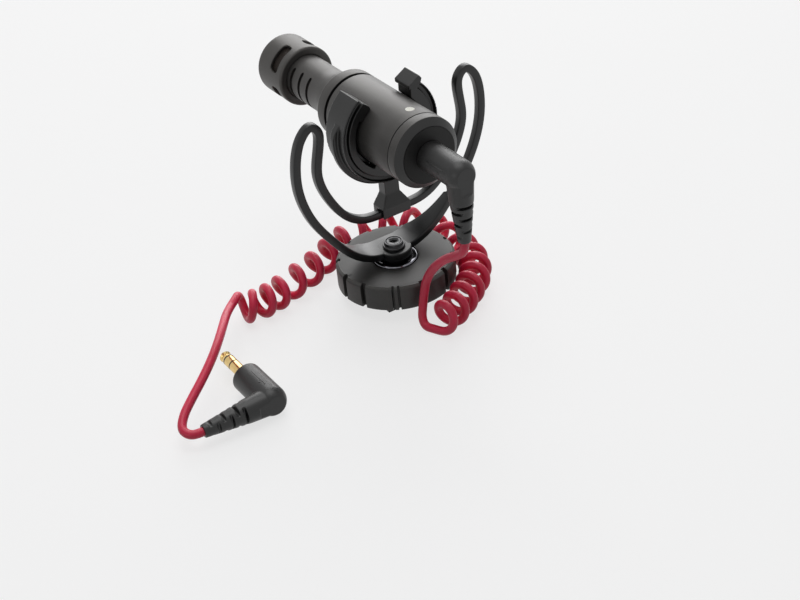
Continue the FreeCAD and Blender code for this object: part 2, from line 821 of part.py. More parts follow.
def makeScrew():
    seat = plateTop + s.washerFloor
    headTop = seat + s.screwHeadHeight
    screw = turned("Screw", [
        (0, s.screwEnd),
        (s.screwRadius, s.screwEnd),
        (s.screwRadius, seat),
        (s.screwHeadRadius, seat),
        (s.screwHeadRadius, headTop),
        (0, headTop),
    ], place(0, 0, 0))
    hexagon = document.addObject("Part::RegularPolygon", "HexOutline")
    hexagon.Polygon = 6
    hexagon.setExpression("Circumradius", (s.hexFlats / (2 * math.cos(math.radians(30)))).text)
    hexTool = document.addObject("Part::Extrusion", "HexTool")
    hexTool.Base = hexagon
    hexTool.Dir = FreeCAD.Vector(0, 0, 1)
    hexTool.Solid = True
    hexTool.setExpression("LengthFwd", (s.hexDepth + s.cutOver).text)
    hexTool.setExpression("Placement", place(0, 0, headTop - s.hexDepth))
    keep("lyre_screw", cut("LyreScrew", screw, hexTool))
    washer = turned("Washer", [
        (s.screwRadius + s.slipGap, plateTop),
        (s.washerRadius, plateTop),
        (s.washerRadius, plateTop + s.washerStepHeight),
        (s.washerStepRadius, plateTop + s.washerStepHeight),
        (s.washerStepRadius, plateTop + s.washerHeight),
        (s.screwHeadRadius + s.slipGap, plateTop + s.washerHeight),
        (s.screwHeadRadius + s.slipGap, seat),
        (s.screwRadius + s.slipGap, seat),
    ], place(0, 0, 0))
    keep("lyre_washer", washer)


# Where the rim's notches are, in degrees from +X; the pair beside each other is narrow
notchAngles = [-178, -156, -97, -67, -37, -7, 23, 53, 83, 113, 147]
narrowNotchAngles = [-126, -120.5]


def makeWheel():
    recessFloor = s.wheelTop - s.recessDepth
    outline = [
        (postBore, s.wheelBottom),
        (s.wheelRadius, s.wheelBottom),
        (s.wheelRadius, s.wheelTop),
        (s.wheelRadius - s.wheelLand, s.wheelTop),
        (s.recessRadius, s.wheelTop - s.wheelDish),
        (s.recessRadius, recessFloor),
        (postBore, recessFloor),
    ]
    wheel = turned("Wheel", outline, place(0, 0, 0))
    rounded(wheel, s.wheelTopRound, outline[2])
    rounded(wheel, s.wheelBottomRound, outline[1])
    tools = []
    height = s.wheelTop - s.wheelBottom + 2 * s.cutOver
    for angles, width in ((notchAngles, s.notchWidth), (narrowNotchAngles, s.narrowNotchWidth)):
        for angle in angles:
            spin = place(0, 0, s.wheelBottom - s.cutOver, turn(0, 0, 1, angle))
            where = spin + " * " + place(s.wheelRadius - s.notchDepth, -width / 2, 0)
            tools.append(box("Notch", s.notchDepth + s.cutOver, width, height, where))
    keep("locking_wheel", cut("LockingWheel", wheel, *tools))
    ringOutline = [
        (postBore, recessFloor),
        (s.hubRingRadius, recessFloor),
        (s.hubRingRadius, s.wheelTop + s.hubRingStand),
        (postBore, s.wheelTop + s.hubRingStand),
    ]
    ring = turned("HubRing", ringOutline, place(0, 0, 0))
    keep("hub_ring", rounded(ring, s.hubRingRound, ringOutline[2]))


def makeFoot():
    plate = box("FootPlate", s.footWidth, s.footLength, s.footThickness,
                place(-s.footWidth / 2, -s.footLength / 2, 0))
    neck = cylinder("FootNeck", s.footNeckRadius, s.footNeckTop, place(0, 0, 0))
    post = cylinder("FootPost", s.postRadius, plateBottom, place(0, 0, 0))
    whole = fused("FootWhole", plate, neck, post)
    socketDepth = s.insertLength + s.cutOver
    insertHole = cylinder("InsertHole", s.insertOuterRadius + s.slipGap, socketDepth,
                          place(0, 0, -s.cutOver))
    screwHole = cylinder("ScrewHole", s.screwRadius + s.slipGap, plateBottom, place(0, 0, s.screwEnd))
    keep("shoe_foot", cut("ShoeFoot", whole, insertHole, screwHole))
    insert = turned("ThreadInsert", [
        (s.insertBoreRadius, 0),
        (s.insertOuterRadius, 0),
        (s.insertOuterRadius, s.insertLength),
        (s.insertBoreRadius, s.insertLength),
    ], place(0, 0, 0))
    keep("thread_insert", insert)


contactBoreShare = 0.4


# A right angle plug, its elbow at the given place: the barrel runs along +Y, the leg along -Z
def makePlug(name, where):
    barrelOutline = [
        (0, 0),
        (s.barrelRadius, 0),
        (s.barrelRadius, s.barrelLength),
        (0, s.barrelLength),
    ]
    barrel = turned("Barrel", barrelOutline, place(0, 0, 0, forward))
    rounded(barrel, s.barrelNoseRound, barrelOutline[2])
    legEnd = s.legLength + s.reliefLength
    leg = turned("Leg", [
        (0, -legEnd),
        (s.reliefEndRadius, -legEnd),
        (s.legRadius, -s.legLength),
        (s.legTopRadius, 0),
        (0, 0),
    ], place(0, 0, 0))
    elbow = primitive("Sphere", "Elbow", place(0, 0, 0), Radius=s.barrelRadius)
    whole = fused("PlugWhole", barrel, elbow, leg)
    facetPlace = place(-s.barrelRadius, -s.barrelRadius - s.cutOver, -s.facetDrop)
    facetDepth = s.barrelRadius - s.facetBehind + s.cutOver
    tools = [box("Facet", 2 * s.barrelRadius, facetDepth, s.facetDrop + s.barrelRadius, facetPlace)]
    reach = s.legTopRadius + s.cutOver
    for index in range(int(float(s.reliefSlotCount))):
        bottom = -s.reliefSlotStart - index * s.reliefSlotPitch - s.reliefSlotHeight
        facing = quarterTurn * (index % 2)
        for side in (0, halfTurn):
            spin = place(0, 0, bottom, turn(0, 0, 1, facing + side))
            corner = spin + " * " + place(-reach, s.reliefCoreRadius, 0)
            tools.append(box("ReliefSlot", 2 * reach, reach, s.reliefSlotHeight, corner))
    keep(name + "_body", cut("PlugBody", whole, *tools), where)
    inner = s.contactRadius * contactBoreShare
    station = s.barrelLength
    lengths = [("sleeve", s.sleeveLength), ("insulators", s.insulatorLength),
               ("ring", s.contactRingLength), ("insulators", s.insulatorLength)]
    insulators = []
    for part, length in lengths:
        spot = where + " * " + place(0, station, 0, forward)
        made = turned("Contact", [
            (inner, 0),
            (s.contactRadius, 0),
            (s.contactRadius, length),
            (inner, length),
        ], spot)
        station = station + length
        if part == "insulators":
            insulators.append(made)
        else:
            keep(f"{name}_{part}", made)
    core = turned("InsulatorCore", [
        (0, -s.contactRingLength - 2 * s.insulatorLength),
        (inner, -s.contactRingLength - 2 * s.insulatorLength),
        (inner, 0),
        (0, 0),
    ], where + " * " + place(0, station, 0, forward))
    keep(name + "_insulators", fused("Insulators", *insulators, core))
    tip = turned("Tip", [
        (0, 0),
        (s.contactRadius, 0),
        (s.tipWaistRadius, s.tipLength - s.tipShoulder),
        (s.contactRadius, s.tipLength - s.tipShoulder + s.insulatorLength),
        (s.tipEndRadius, s.tipLength),
        (0, s.tipLength),
    ], where + " * " + place(0, station, 0, forward))
    keep(name + "_tip", tip)


# Cable: the lead's routes, chosen by hand, from end to end
micLeadRoute = [
    (0.0, -38.55, 35.4), (0.0, -38.55, 31.9), (-0.6, -34.6, 28.9), (-1.4, -29.6, 25.7), (-2.3, -24.6, 20.6),
    (-3.1, -21.6, 15.4), (-3.7, -20.8, 10.8), (-4.5, -20.7, 6.6), (-5.6, -21.3, 3.2), (-6.008, -23.463, 1.299),
    (-4.844, -26.119, 1.299),
]
farLeadRoute = [
    (-48.196, 14.734, 8.901), (-50.038, 13.196, 8.902), (-53.4, 8.8, 10.3), (-56.4, 4.2, 11.6),
    (-60.3, -1.4, 12.5),
    (-65.3, -7.6, 12.6), (-70.0, -12.0, 11.6), (-74.6, -15.4, 10.1), (-79.2, -18.2, 8.3), (-83.4, -21.0, 6.6),
    (-86.1, -24.3, 5.3), (-85.7, -26.9, 4.7), (-83.9, -28.4, 4.6), (-81.7, -28.4, 4.6),
]
# The line that the curls wind round, on the surface, from the front of the wheel round behind it
curlRoute = [
    (-3.8, -28.5), (0.8, -27.1), (5.0, -25.0), (9.0, -22.5), (12.9, -19.9), (16.8, -16.8), (20.1, -12.8),
    (22.4, -7.9), (23.6, -2.2), (23.9, 3.6), (24.0, 9.6), (23.8, 15.6), (21.4, 20.9), (16.6, 25.1),
    (10.4, 27.9), (3.4, 28.8), (-3.2, 27.2), (-9.2, 24.3), (-14.4, 21.6), (-19.4, 19.6), (-25.0, 17.9),
    (-30.4, 16.1), (-35.4, 14.7), (-39.6, 14.2), (-43.2, 14.8), (-46.2, 16.4),
]


setbackShare = 0.45


def printRadii(name, radii):
    print(name, "bend radii", [round(radius, 1) for radius in radii])


# Straight runs joined by arcs that are as large as the runs beside them allow
def cordPath(name, route):
    points = [FreeCAD.Vector(*point) for point in route]
    edges = []
    radii = []
    start = points[0]
    for before, corner, after in zip(points, points[1:], points[2:]):
        incoming = corner - before
        outgoing = after - corner
        shorter = min(incoming.Length, outgoing.Length)
        incoming.normalize()
        outgoing.normalize()
        half = math.acos(max(-1, min(1, incoming.dot(outgoing)))) / 2
        setback = setbackShare * shorter
        radii.append(setback / math.tan(half))
        first = corner - incoming * setback
        last = corner + outgoing * setback
        bisector = (outgoing - incoming).normalize()
        depth = radii[-1] / math.cos(half) - radii[-1]
        edges.append(Part.LineSegment(start, first).toShape())
        edges.append(arcThrough(first, corner + bisector * depth, last))
        start = last
    edges.append(Part.LineSegment(start, points[-1]).toShape())
    printRadii(name, radii)
    return Part.Wire(edges)


# A round tube along a path
def cordTube(path):
    start = path.Edges[0].firstVertex().Point
    along = path.Edges[0].tangentAt(path.Edges[0].FirstParameter)
    circle = Part.Wire(Part.Circle(start, along, float(s.cordRadius)).toShape())
    return path.makePipeShell([circle], True, False)


def checkVolume(name, solid, path):
    ideal = math.pi * float(s.cordRadius) ** 2 * path.Length
    print(name, "length", round(path.Length, 1), "volume share", round(solid.Volume / ideal, 4))


def makeLead(name, route):
    path = cordPath(name, route)
    made = document.addObject("Part::Feature", name)
    made.Shape = cordTube(path)
    checkVolume(name, made.Shape, path)
    keep(name, made)


# Two arcs that leave one point and reach the next along the given directions
def biarc(start, startWay, end, endWay):
    chord = end - start
    ways = startWay + endWay
    spread = 2 * (1 - startWay.dot(endWay))
    lean = chord.dot(ways)
    reach = (math.sqrt(lean ** 2 + spread * chord.dot(chord)) - lean) / spread
    joint = (start + end + (startWay - endWay) * reach) * 0.5
    return [tangentArc(start, startWay, joint), tangentArc(end, endWay * -1, joint)[::-1]]


# The three points of an arc from a point along a way to another point
def tangentArc(start, way, end):
    chord = end - start
    across = way - chord * (way.dot(chord) / chord.dot(chord))
    angle = math.atan2(across.Length, way.dot(chord) / chord.Length)
    across.normalize()
    middle = (start + end) * 0.5 + across * (chord.Length / 2 * math.tan(angle / 2))
    return [start, middle, end]


# Points and directions of the curls at each quarter turn, from the underside outward and over
def curlStations():
    curve = Part.BSplineCurve()
    curve.interpolate([FreeCAD.Vector(x, y, 0) for x, y in curlRoute])
    length = curve.length()
    turns = float(s.curlCount) + 0.5
    tight = float(s.tightCurlCount)
    pitch = float(s.tightCurlPitch)
    ending = turns - float(s.endCurlCount)
    endPitch = float(s.endCurlPitch)
    loosePitch = (length - tight * pitch - (turns - ending) * endPitch) / (ending - tight)
    radius = float(s.curlRadius)
    height = radius + float(s.cordRadius)

    def at(turned):
        loose = min(max(turned - tight, 0), ending - tight)
        distance = min(turned, tight) * pitch + loose * loosePitch + max(turned - ending, 0) * endPitch
        parameter = curve.parameterAtDistance(distance, curve.FirstParameter)
        point = curve.value(parameter)
        along = curve.tangent(parameter)[0]
        side = FreeCAD.Vector(along.y, -along.x, 0)
        angle = 2 * math.pi * turned
        lift = FreeCAD.Vector(0, 0, height - radius * math.cos(angle))
        return point + lift + side * (radius * math.sin(angle))

    stations = []
    nudge = 1e-4
    for index in range(int(round(turns * 4)) + 1):
        turned = index / 4
        before = max(turned - nudge, 0)
        after = min(turned + nudge, turns)
        stations.append((at(turned), (at(after) - at(before)).normalize()))
    return stations


def makeCoil():
    stations = curlStations()
    straight = 2 * float(s.cordRadius)
    firstPoint, firstWay = stations[0]
    lastPoint, lastWay = stations[-1]
    edges = [Part.LineSegment(firstPoint - firstWay * straight, firstPoint).toShape()]
    for (start, startWay), (end, endWay) in zip(stations, stations[1:]):
        for points in biarc(start, startWay, end, endWay):
            edges.append(arcThrough(*points))
    edges.append(Part.LineSegment(lastPoint, lastPoint + lastWay * straight).toShape())
    path = Part.Wire(edges)
    made = document.addObject("Part::Feature", "CordCoil")
    made.Shape = cordTube(path)
    checkVolume("cord_coil", made.Shape, path)
    print("cord_coil ends", firstPoint - firstWay * straight, firstWay, lastPoint + lastWay * straight, lastWay)
    printSelfGap(path)
    keep("cord_coil", made)


# The least gap of the coil to itself, on points along it that are more than half a curl apart
def printSelfGap(path):
    count = int(path.Length)
    points = path.discretize(count)
    spacing = path.Length / (count - 1)
    apart = int(math.pi * float(s.curlRadius) / spacing)
    least = min((points[first] - points[second]).Length
                for first in range(count) for second in range(first + apart, count))
    print("cord_coil least gap to itself", round(least - 2 * float(s.cordRadius), 2))


makeTube()
makeRearEnd()
makeNeck()
makeCapsule()
makeCap()
makeBoard()
makeClip()
makeLyre()
makeScrew()
makeWheel()
makeFoot()
plugPlace = place(0, -s.rimBehindWheel - s.bevelLength - s.plugSeatGap - s.barrelLength, s.micAxisHeight)
makePlug("mic_plug", plugPlace)
makePlug("camera_plug", place(-s.farPlugLeft, -s.farPlugBehind, s.farPlugHeight, leftToRight))
makeLead("cord_lead_mic", micLeadRoute)
makeCoil()
makeLead("cord_lead_camera", farLeadRoute)

document.recompute()
for item in document.Objects:
    if "Invalid" in item.State or "Error" in item.State:
        raise RuntimeError(f"{item.Name} failed: {item.State}")
for name, item in subparts.items():
    if item.Shape.isNull() or not item.Shape.isValid():
        raise RuntimeError(f"{name} has no valid shape")

os.makedirs("parts", exist_ok=True)
for name, item in subparts.items():
    item.Shape.exportStep(f"parts/{name}.step")
print(len(subparts), "sub-parts written")
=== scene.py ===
import math

import bmesh
import bpy
import numpy as np
from mathutils import Matrix, Vector


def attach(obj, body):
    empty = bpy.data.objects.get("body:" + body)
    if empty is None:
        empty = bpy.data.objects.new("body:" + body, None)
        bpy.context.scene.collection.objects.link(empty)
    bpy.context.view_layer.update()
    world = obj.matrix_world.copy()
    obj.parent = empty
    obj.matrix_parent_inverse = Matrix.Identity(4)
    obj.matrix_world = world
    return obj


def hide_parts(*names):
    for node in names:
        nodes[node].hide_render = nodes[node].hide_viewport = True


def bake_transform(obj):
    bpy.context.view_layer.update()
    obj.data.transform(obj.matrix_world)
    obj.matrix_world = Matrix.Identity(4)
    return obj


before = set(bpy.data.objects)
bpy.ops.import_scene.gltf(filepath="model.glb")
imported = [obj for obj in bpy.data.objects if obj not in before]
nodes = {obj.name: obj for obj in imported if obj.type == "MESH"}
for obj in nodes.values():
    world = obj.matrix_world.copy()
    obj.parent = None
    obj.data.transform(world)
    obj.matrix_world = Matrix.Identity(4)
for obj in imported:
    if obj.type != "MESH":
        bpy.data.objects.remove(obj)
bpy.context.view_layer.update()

mm = 0.001


# Shader maths: a wire is a socket that adds, multiplies and compares
class Wire:
    def __init__(self, shader, socket):
        self.shader = shader
        self.socket = socket

    def math(self, operation, *values):
        return self.shader.node("ShaderNodeMath", {"operation": operation}, dict(enumerate(values)))

    def __add__(self, other):
        return self.math("ADD", self, other)

    __radd__ = __add__

    def __sub__(self, other):
        return self.math("SUBTRACT", self, other)

    def __rsub__(self, other):
        return self.math("SUBTRACT", other, self)

    def __mul__(self, other):
        return self.math("MULTIPLY", self, other)

    __rmul__ = __mul__

    def __truediv__(self, other):
        return self.math("DIVIDE", self, other)

    def __gt__(self, other):
        return self.math("GREATER_THAN", self, other)

    def __lt__(self, other):
        return self.math("LESS_THAN", self, other)

    def __abs__(self):
        return self.math("ABSOLUTE", self)

    def sine(self):
        return self.math("SINE", self)

    def most(self, other):
        return self.math("MAXIMUM", self, other)

    def between(self, low, high):  # 0 at low, 1 at high, smooth in between
        return self.shader.node("ShaderNodeMapRange", {"interpolation_type": "SMOOTHSTEP"},
                                {"Value": self, "From Min": low, "From Max": high})


class Shader:
    def __init__(self, name):
        self.material = bpy.data.materials.new(name)
        self.material.use_nodes = True
        self.tree = self.material.node_tree
        self.surface = next(n for n in self.tree.nodes if n.type == "BSDF_PRINCIPLED")
        self.place = self.node("ShaderNodeTexCoord", output="Object")

    def node(self, kind, settings=None, inputs=None, output=0):
        made = self.tree.nodes.new(kind)
        for key, value in (settings or {}).items():
            setattr(made, key, value)
        for key, value in (inputs or {}).items():
            self.link(made.inputs[key], value)
        return Wire(self, made.outputs[output])

    def link(self, socket, value):
        if isinstance(value, Wire):
            self.tree.links.new(value.socket, socket)
        else:
            socket.default_value = value

    def set(self, base, roughness, metallic=0.0):
        for key, value in (("Base Color", base), ("Roughness", roughness), ("Metallic", metallic)):
            self.link(self.surface.inputs[key], value)

    def axes(self, place=None):
        made = self.node("ShaderNodeSeparateXYZ", None, {0: place or self.place})
        return [Wire(self, socket) for socket in made.socket.node.outputs]

    def noise(self, size, detail=2.0, roughness=0.5, place=None):  # size of a feature in metres
        inputs = {"Vector": place or self.place, "Scale": 1 / size, "Detail": detail, "Roughness": roughness}
        return self.node("ShaderNodeTexNoise", None, inputs)

    def mix(self, factor, first, second):
        inputs = {0: factor, 6: colour(first), 7: colour(second)}
        return self.node("ShaderNodeMix", {"data_type": "RGBA"}, inputs, 2)

    def bump(self, height, depth, strength=1.0):
        made = self.node("ShaderNodeBump", None, {"Height": height, "Distance": depth, "Strength": strength})
        self.link(self.surface.inputs["Normal"], made)


def colour(value):
    return value if isinstance(value, Wire) else (*value, 1.0) if len(value) == 3 else value


micPlace = {"behind": 22.6, "height": 56.5}  # of the tube's rear end, in millimetres
micAxis = Matrix.Translation(Vector((0, -micPlace["behind"], micPlace["height"])) * mm)
micAxis = micAxis @ Matrix.Rotation(-math.pi / 2, 4, "X")
wheelAxis = Matrix.Identity(4)


# Finishes
def grained(name, tint, deep, roughness, grain=0.25 * mm, depth=0.01 * mm, cloud=6 * mm, specular=0.5,
            paintedRimHighlight=None):
    shader = Shader(name)
    fine = shader.noise(grain, 3.0, 0.6)
    broad = shader.noise(cloud, 2.0)
    base = shader.mix(broad.between(0.3, 0.7), deep, tint)
    if paintedRimHighlight:  # painted highlight: (height, radius, colour) of the upper rim edge, painted lighter in dots where the blocks' top edges catch the light
        x, y, z = shader.axes()
        rimHighlightMask = (z / mm).between(paintedRimHighlight[0], paintedRimHighlight[0] + 0.5) * ((x * x + y * y) / (mm * mm) > paintedRimHighlight[1] ** 2)
        base = shader.mix(rimHighlightMask * fine.between(0.25, 0.6), base, paintedRimHighlight[2])
    shader.set(base, roughness + (fine - 0.5) * 0.16 + (broad - 0.5) * 0.10)
    shader.surface.inputs["Specular IOR Level"].default_value = specular
    shader.bump(fine, depth, 0.7)
    return shader


# Turned metal; each black place is (first station, last station, radius under which it is black), in mm: the
# place over the rear ring's chamfer is painted shade, and the narrow places paint the grooves at the joints
# black
def turnedMetal(name, tint, deep, roughness, metallic, shadeAndSeamBands=(), pitch=0.16 * mm):
    shader = Shader(name)
    x, y, z = shader.axes()
    fine = shader.noise(0.12 * mm, 2.0, 0.6)
    broad = shader.noise(9 * mm, 2.0)
    lines = (y * (2 * math.pi / pitch) + fine * 1.5).sine()
    base = shader.mix(broad.between(0.3, 0.7), deep, tint)
    metal = metallic
    if shadeAndSeamBands:
        station = y / mm + micPlace["behind"]
        up = z / mm - micPlace["height"]
        across = x / mm
        squared = across * across + up * up
        # painted shade on the rear ring's chamfer, and black painted into the joint grooves
        black = 0
        for first, last, radius in shadeAndSeamBands:
            black = black + (station > first) * (station < last) * (squared < radius * radius)
        base = shader.mix(black, base, (0.006, 0.006, 0.006))
        metal = metallic - metallic * black
    shader.set(base, roughness + (fine - 0.5) * 0.2 + (broad - 0.5) * 0.08, metal)
    shader.bump(fine * 0.8 + lines * 0.12, 0.008 * mm, 0.6)
    return shader


def wovenWire(name, wire, gap, pitch=0.34 * mm, radius=8.2 * mm):
    shader = Shader(name)
    x, y, z = shader.axes()
    up = z - micPlace["height"] * mm
    arc = x.math("ARCTAN2", up, x) * radius
    facing = shader.axes(shader.node("ShaderNodeNewGeometry", output="Normal"))
    flat = abs(facing[1]) > 0.6
    across = flat * x + (1 - flat) * arc
    along = flat * up + (1 - flat) * y
    turnsPerMetre = 2 * math.pi / pitch
    warp = (across * turnsPerMetre).sine()
    weft = (along * turnsPerMetre).sine()
    body = abs(warp).most(abs(weft)).between(0.45, 0.9)
    shader.set(shader.mix(body, gap, wire), 0.6 - body * 0.2, body * 0.7)
    shader.bump(body + warp * weft * 0.3, 0.06 * mm, 1.0)
    return shader


def cordJacket(name, tint, deep, light):
    shader = Shader(name)
    fine = shader.noise(0.35 * mm, 3.0, 0.6)
    broad = shader.noise(7 * mm, 3.0)
    base = shader.mix(broad.between(0.25, 0.75), deep, tint)
    shader.set(shader.mix(fine.between(0.55, 0.9) * 0.35, base, light),
               0.40 + (fine - 0.5) * 0.3 + (broad - 0.5) * 0.12)
    shader.surface.inputs["Subsurface Weight"].default_value = 0.08
    shader.surface.inputs["Subsurface Radius"].default_value = (1.2 * mm, 0.2 * mm, 0.2 * mm)
    shader.surface.inputs["Subsurface Scale"].default_value = 1.0
    shader.bump(fine * 0.6 + broad, 0.05 * mm, 0.6)
    return shader


def plated(name, tint, deep, roughness, scratch=0.06 * mm):
    shader = Shader(name)
    fine = shader.noise(scratch, 2.0)
    broad = shader.noise(2.5 * mm, 2.0)
    shader.set(shader.mix(broad.between(0.3, 0.75), deep, tint),
               roughness + (fine - 0.5) * 0.12 + (broad - 0.5) * 0.08, 1.0)
    shader.bump(fine, 0.003 * mm, 0.5)
    return shader


def laminate(name, tint, trace):
    shader = Shader(name)
    x, y, z = shader.axes()
    tracks = ((x * (2 * math.pi / (1.1 * mm))).sine() * (y * (2 * math.pi / (2.3 * mm))).sine()) > 0.45
    fine = shader.noise(0.1 * mm)
    shader.set(shader.mix(tracks, tint, trace), 0.42 + (fine - 0.5) * 0.2)
    shader.bump(tracks + fine * 0.2, 0.02 * mm, 0.5)
    return shader


finishes = {
    # the tube's second black place is painted shade over the rear ring's chamfer; the first and third paint
    # the joint grooves black
    "tube": turnedMetal("anodisedTube", (0.084, 0.081, 0.078), (0.072, 0.069, 0.066), 0.44, 0.5,
                        [(2.95, 3.35, 10.45), (-2, -0.06, 10.6), (35.25, 36.55, 10.42)]).material,
    "cap": turnedMetal("anodisedCap", (0.080, 0.076, 0.072), (0.068, 0.064, 0.060), 0.44, 0.5).material,
    "plate": grained("endPlateBlack", (0.015, 0.0145, 0.014), (0.010, 0.010, 0.010), 0.50,
                     specular=0.3).material,
    "clip": grained("clipPlastic", (0.010, 0.0098, 0.0095), (0.006, 0.006, 0.006), 0.33,
                    0.18 * mm, 0.006 * mm, specular=0.48).material,
    "lyre": grained("lyrePlastic", (0.005, 0.0056, 0.006), (0.003, 0.0034, 0.004), 0.31, 0.2 * mm, 0.006 * mm,
                    specular=0.42).material,
    # the wheel's upper rim edge is painted lighter, as a painted highlight on the blocks' top edges
    "wheel": grained("wheelPlastic", (0.050, 0.048, 0.045), (0.038, 0.037, 0.035), 0.46,
                     0.16 * mm, 0.014 * mm, specular=0.4, paintedRimHighlight=(11.25, 16.9, (0.11, 0.107, 0.10))).material,
    "foot": grained("footPlastic", (0.020, 0.020, 0.020), (0.014, 0.014, 0.014), 0.50,
                    specular=0.35).material,
    "plug": grained("plugMoulding", (0.020, 0.020, 0.020), (0.014, 0.014, 0.014), 0.38, 0.14 * mm, 0.012 * mm,
                    specular=0.5).material,
    "insulator": grained("insulatorBlack", (0.012, 0.012, 0.012), (0.009, 0.009, 0.009), 0.35).material,
    "carrier": grained("softRubber", (0.020, 0.020, 0.020), (0.014, 0.014, 0.014), 0.7).material,
    "socket": grained("socketBlack", (0.010, 0.010, 0.010), (0.007, 0.007, 0.007), 0.5).material,
    "dot": grained("paleInlay", (0.80, 0.79, 0.70), (0.72, 0.71, 0.62), 0.45, 0.1 * mm, 0.004 * mm,
                   cloud=1 * mm).material,
    "screen": wovenWire("wovenScreen", (0.022, 0.015, 0.011), (0.005, 0.0035, 0.003)).material,
    "neckScreen": wovenWire("wovenNeckScreen", (0.020, 0.017, 0.014), (0.003, 0.003, 0.002),
                            radius=6.1 * mm).material,
    "cord": cordJacket("crimsonJacket", (0.86, 0.026, 0.095), (0.70, 0.016, 0.065),
                       (0.92, 0.08, 0.16)).material,
    "gold": plated("goldPlate", (0.83, 0.62, 0.28), (0.74, 0.53, 0.22), 0.22).material,
    "steel": plated("plainSteel", (0.42, 0.41, 0.39), (0.33, 0.32, 0.31), 0.34).material,
    "blackSteel": plated("blackSteel", (0.085, 0.085, 0.087), (0.060, 0.060, 0.062), 0.32).material,
    "nickel": plated("satinNickel", (0.55, 0.54, 0.51), (0.47, 0.46, 0.43), 0.36).material,
    "board": laminate("greenLaminate", (0.020, 0.11, 0.045), (0.035, 0.17, 0.07)).material,
    "parts": grained("chipResin", (0.045, 0.044, 0.042), (0.030, 0.030, 0.029), 0.48).material,
}
polished = plated("polishedBlack", (0.20, 0.20, 0.22), (0.15, 0.15, 0.17), 0.09, 0.5 * mm)
polished.surface.inputs["Coat Weight"].default_value = 0.6
polished.surface.inputs["Coat Roughness"].default_value = 0.05
finishes["ring"] = polished.material
print("finishes made:", len(finishes))


# Mesh helpers
def pieceFrom(name, points, faces, finish, sharp=35):
    mesh = bpy.data.meshes.new(name)
    mesh.from_pydata([tuple(p) for p in points], [], faces)
    return tidy(name, mesh, finish, sharp)


def tidy(name, mesh, finish, sharp=35):
    work = bmesh.new()
    work.from_mesh(mesh)
    bmesh.ops.remove_doubles(work, verts=work.verts, dist=1e-7)
    bmesh.ops.dissolve_degenerate(work, edges=work.edges, dist=1e-8)
    bmesh.ops.recalc_face_normals(work, faces=work.faces)
    for face in work.faces:
        face.smooth = True
    work.to_mesh(mesh)
    work.free()
    mesh.set_sharp_from_angle(angle=math.radians(sharp))
    mesh.materials.clear()
    mesh.materials.append(finishes[finish])
    piece = bpy.data.objects.new(name, mesh)
    bpy.context.scene.collection.objects.link(piece)
    return piece


def baked(piece):  # its modifiers become its mesh
    bpy.context.view_layer.update()
    mesh = bpy.data.meshes.new_from_object(piece.evaluated_get(bpy.context.evaluated_depsgraph_get()))
    piece.modifiers.clear()
    piece.data = mesh
    return piece


def cutBy(piece, tool):
    cutter = piece.modifiers.new("cut", "BOOLEAN")
    cutter.object = tool
    cutter.operation = "DIFFERENCE"
    cutter.solver = "EXACT"
    baked(piece)
    bpy.data.objects.remove(tool)
    return piece


def softEdged(piece, finish, voxel, passes):
    remesh = piece.modifiers.new("remesh", "REMESH")
    remesh.mode = "VOXEL"
    remesh.voxel_size = voxel
    remesh.use_smooth_shade = True
    smooth = piece.modifiers.new("smooth", "SMOOTH")
    smooth.factor = 0.5
    smooth.iterations = passes
    baked(piece)
    piece.data.materials.clear()
    piece.data.materials.append(finishes[finish])
    return piece


def cadCopy(name, node, finish):
    mesh = nodes[node].data.copy()
    mesh.transform(nodes[node].matrix_world)
    return tidy(name, mesh, finish)


def joined(piece, *others):  # other shells become part of the piece's mesh
    work = bmesh.new()
    for part in (piece, *others):
        work.from_mesh(part.data)
    work.to_mesh(piece.data)
    work.free()
    for part in others:
        bpy.data.objects.remove(part)
    return piece


def put(piece, body, slot, *replaced):
    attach(piece, body)
    if replaced:
        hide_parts(*replaced)
    return piece


# Corners are (radius, height) or (radius, height, rounding); the outline closes on itself
def outlineOf(corners, steps=5):
    points = []
    for index, corner in enumerate(corners):
        here = Vector(corner[:2])
        if len(corner) == 2:
            points.append(here)
            continue
        before = (Vector(corners[index - 1][:2]) - here).normalized()
        after = (Vector(corners[(index + 1) % len(corners)][:2]) - here).normalized()
        half = before.angle(after) / 2
        centre = here + (before + after).normalized() * (corner[2] / math.sin(half))
        first = here + before * (corner[2] / math.tan(half)) - centre
        last = here + after * (corner[2] / math.tan(half)) - centre
        start = math.atan2(first.y, first.x)
        swing = (math.atan2(last.y, last.x) - start + math.pi) % (2 * math.pi) - math.pi
        for step in range(steps + 1):
            angle = start + swing * step / steps
            points.append(centre + Vector((math.cos(angle), math.sin(angle))) * corner[2])
    return points


def lathed(name, corners, finish, where, segments=144, steps=5):
    outline = outlineOf(corners, steps)
    points = []
    for index in range(segments):
        angle = 2 * math.pi * index / segments
        for radius, height in outline:
            spot = Vector((radius * math.cos(angle), radius * math.sin(angle), height)) * mm
            points.append(where @ spot)
    return pieceFrom(name, points, ringFaces(segments, len(outline)), finish)


def ringFaces(rings, sides, closed=True):
    faces = []
    for ring in range(rings if closed else rings - 1):
        for side in range(sides):
            follower = (side + 1) % sides
            after = (ring + 1) % rings
            faces.append((ring * sides + side, ring * sides + follower,
                          after * sides + follower, after * sides + side))
    return faces


# A prism of an outline: its two ends are strips, so that curved ends stay even
def prism(name, ring, finish, lower, upper):
    count = len(ring)
    points = [lower(p) for p in ring] + [upper(p) for p in ring]
    faces = [(i, (i + 1) % count, count + (i + 1) % count, count + i) for i in range(count)]
    for base in (0, count):
        for index in range(count // 2 - 1):
            corners = (index, index + 1, count - 2 - index, count - 1 - index)
            faces.append(tuple(base + c for c in corners))
    return pieceFrom(name, points, faces, finish)


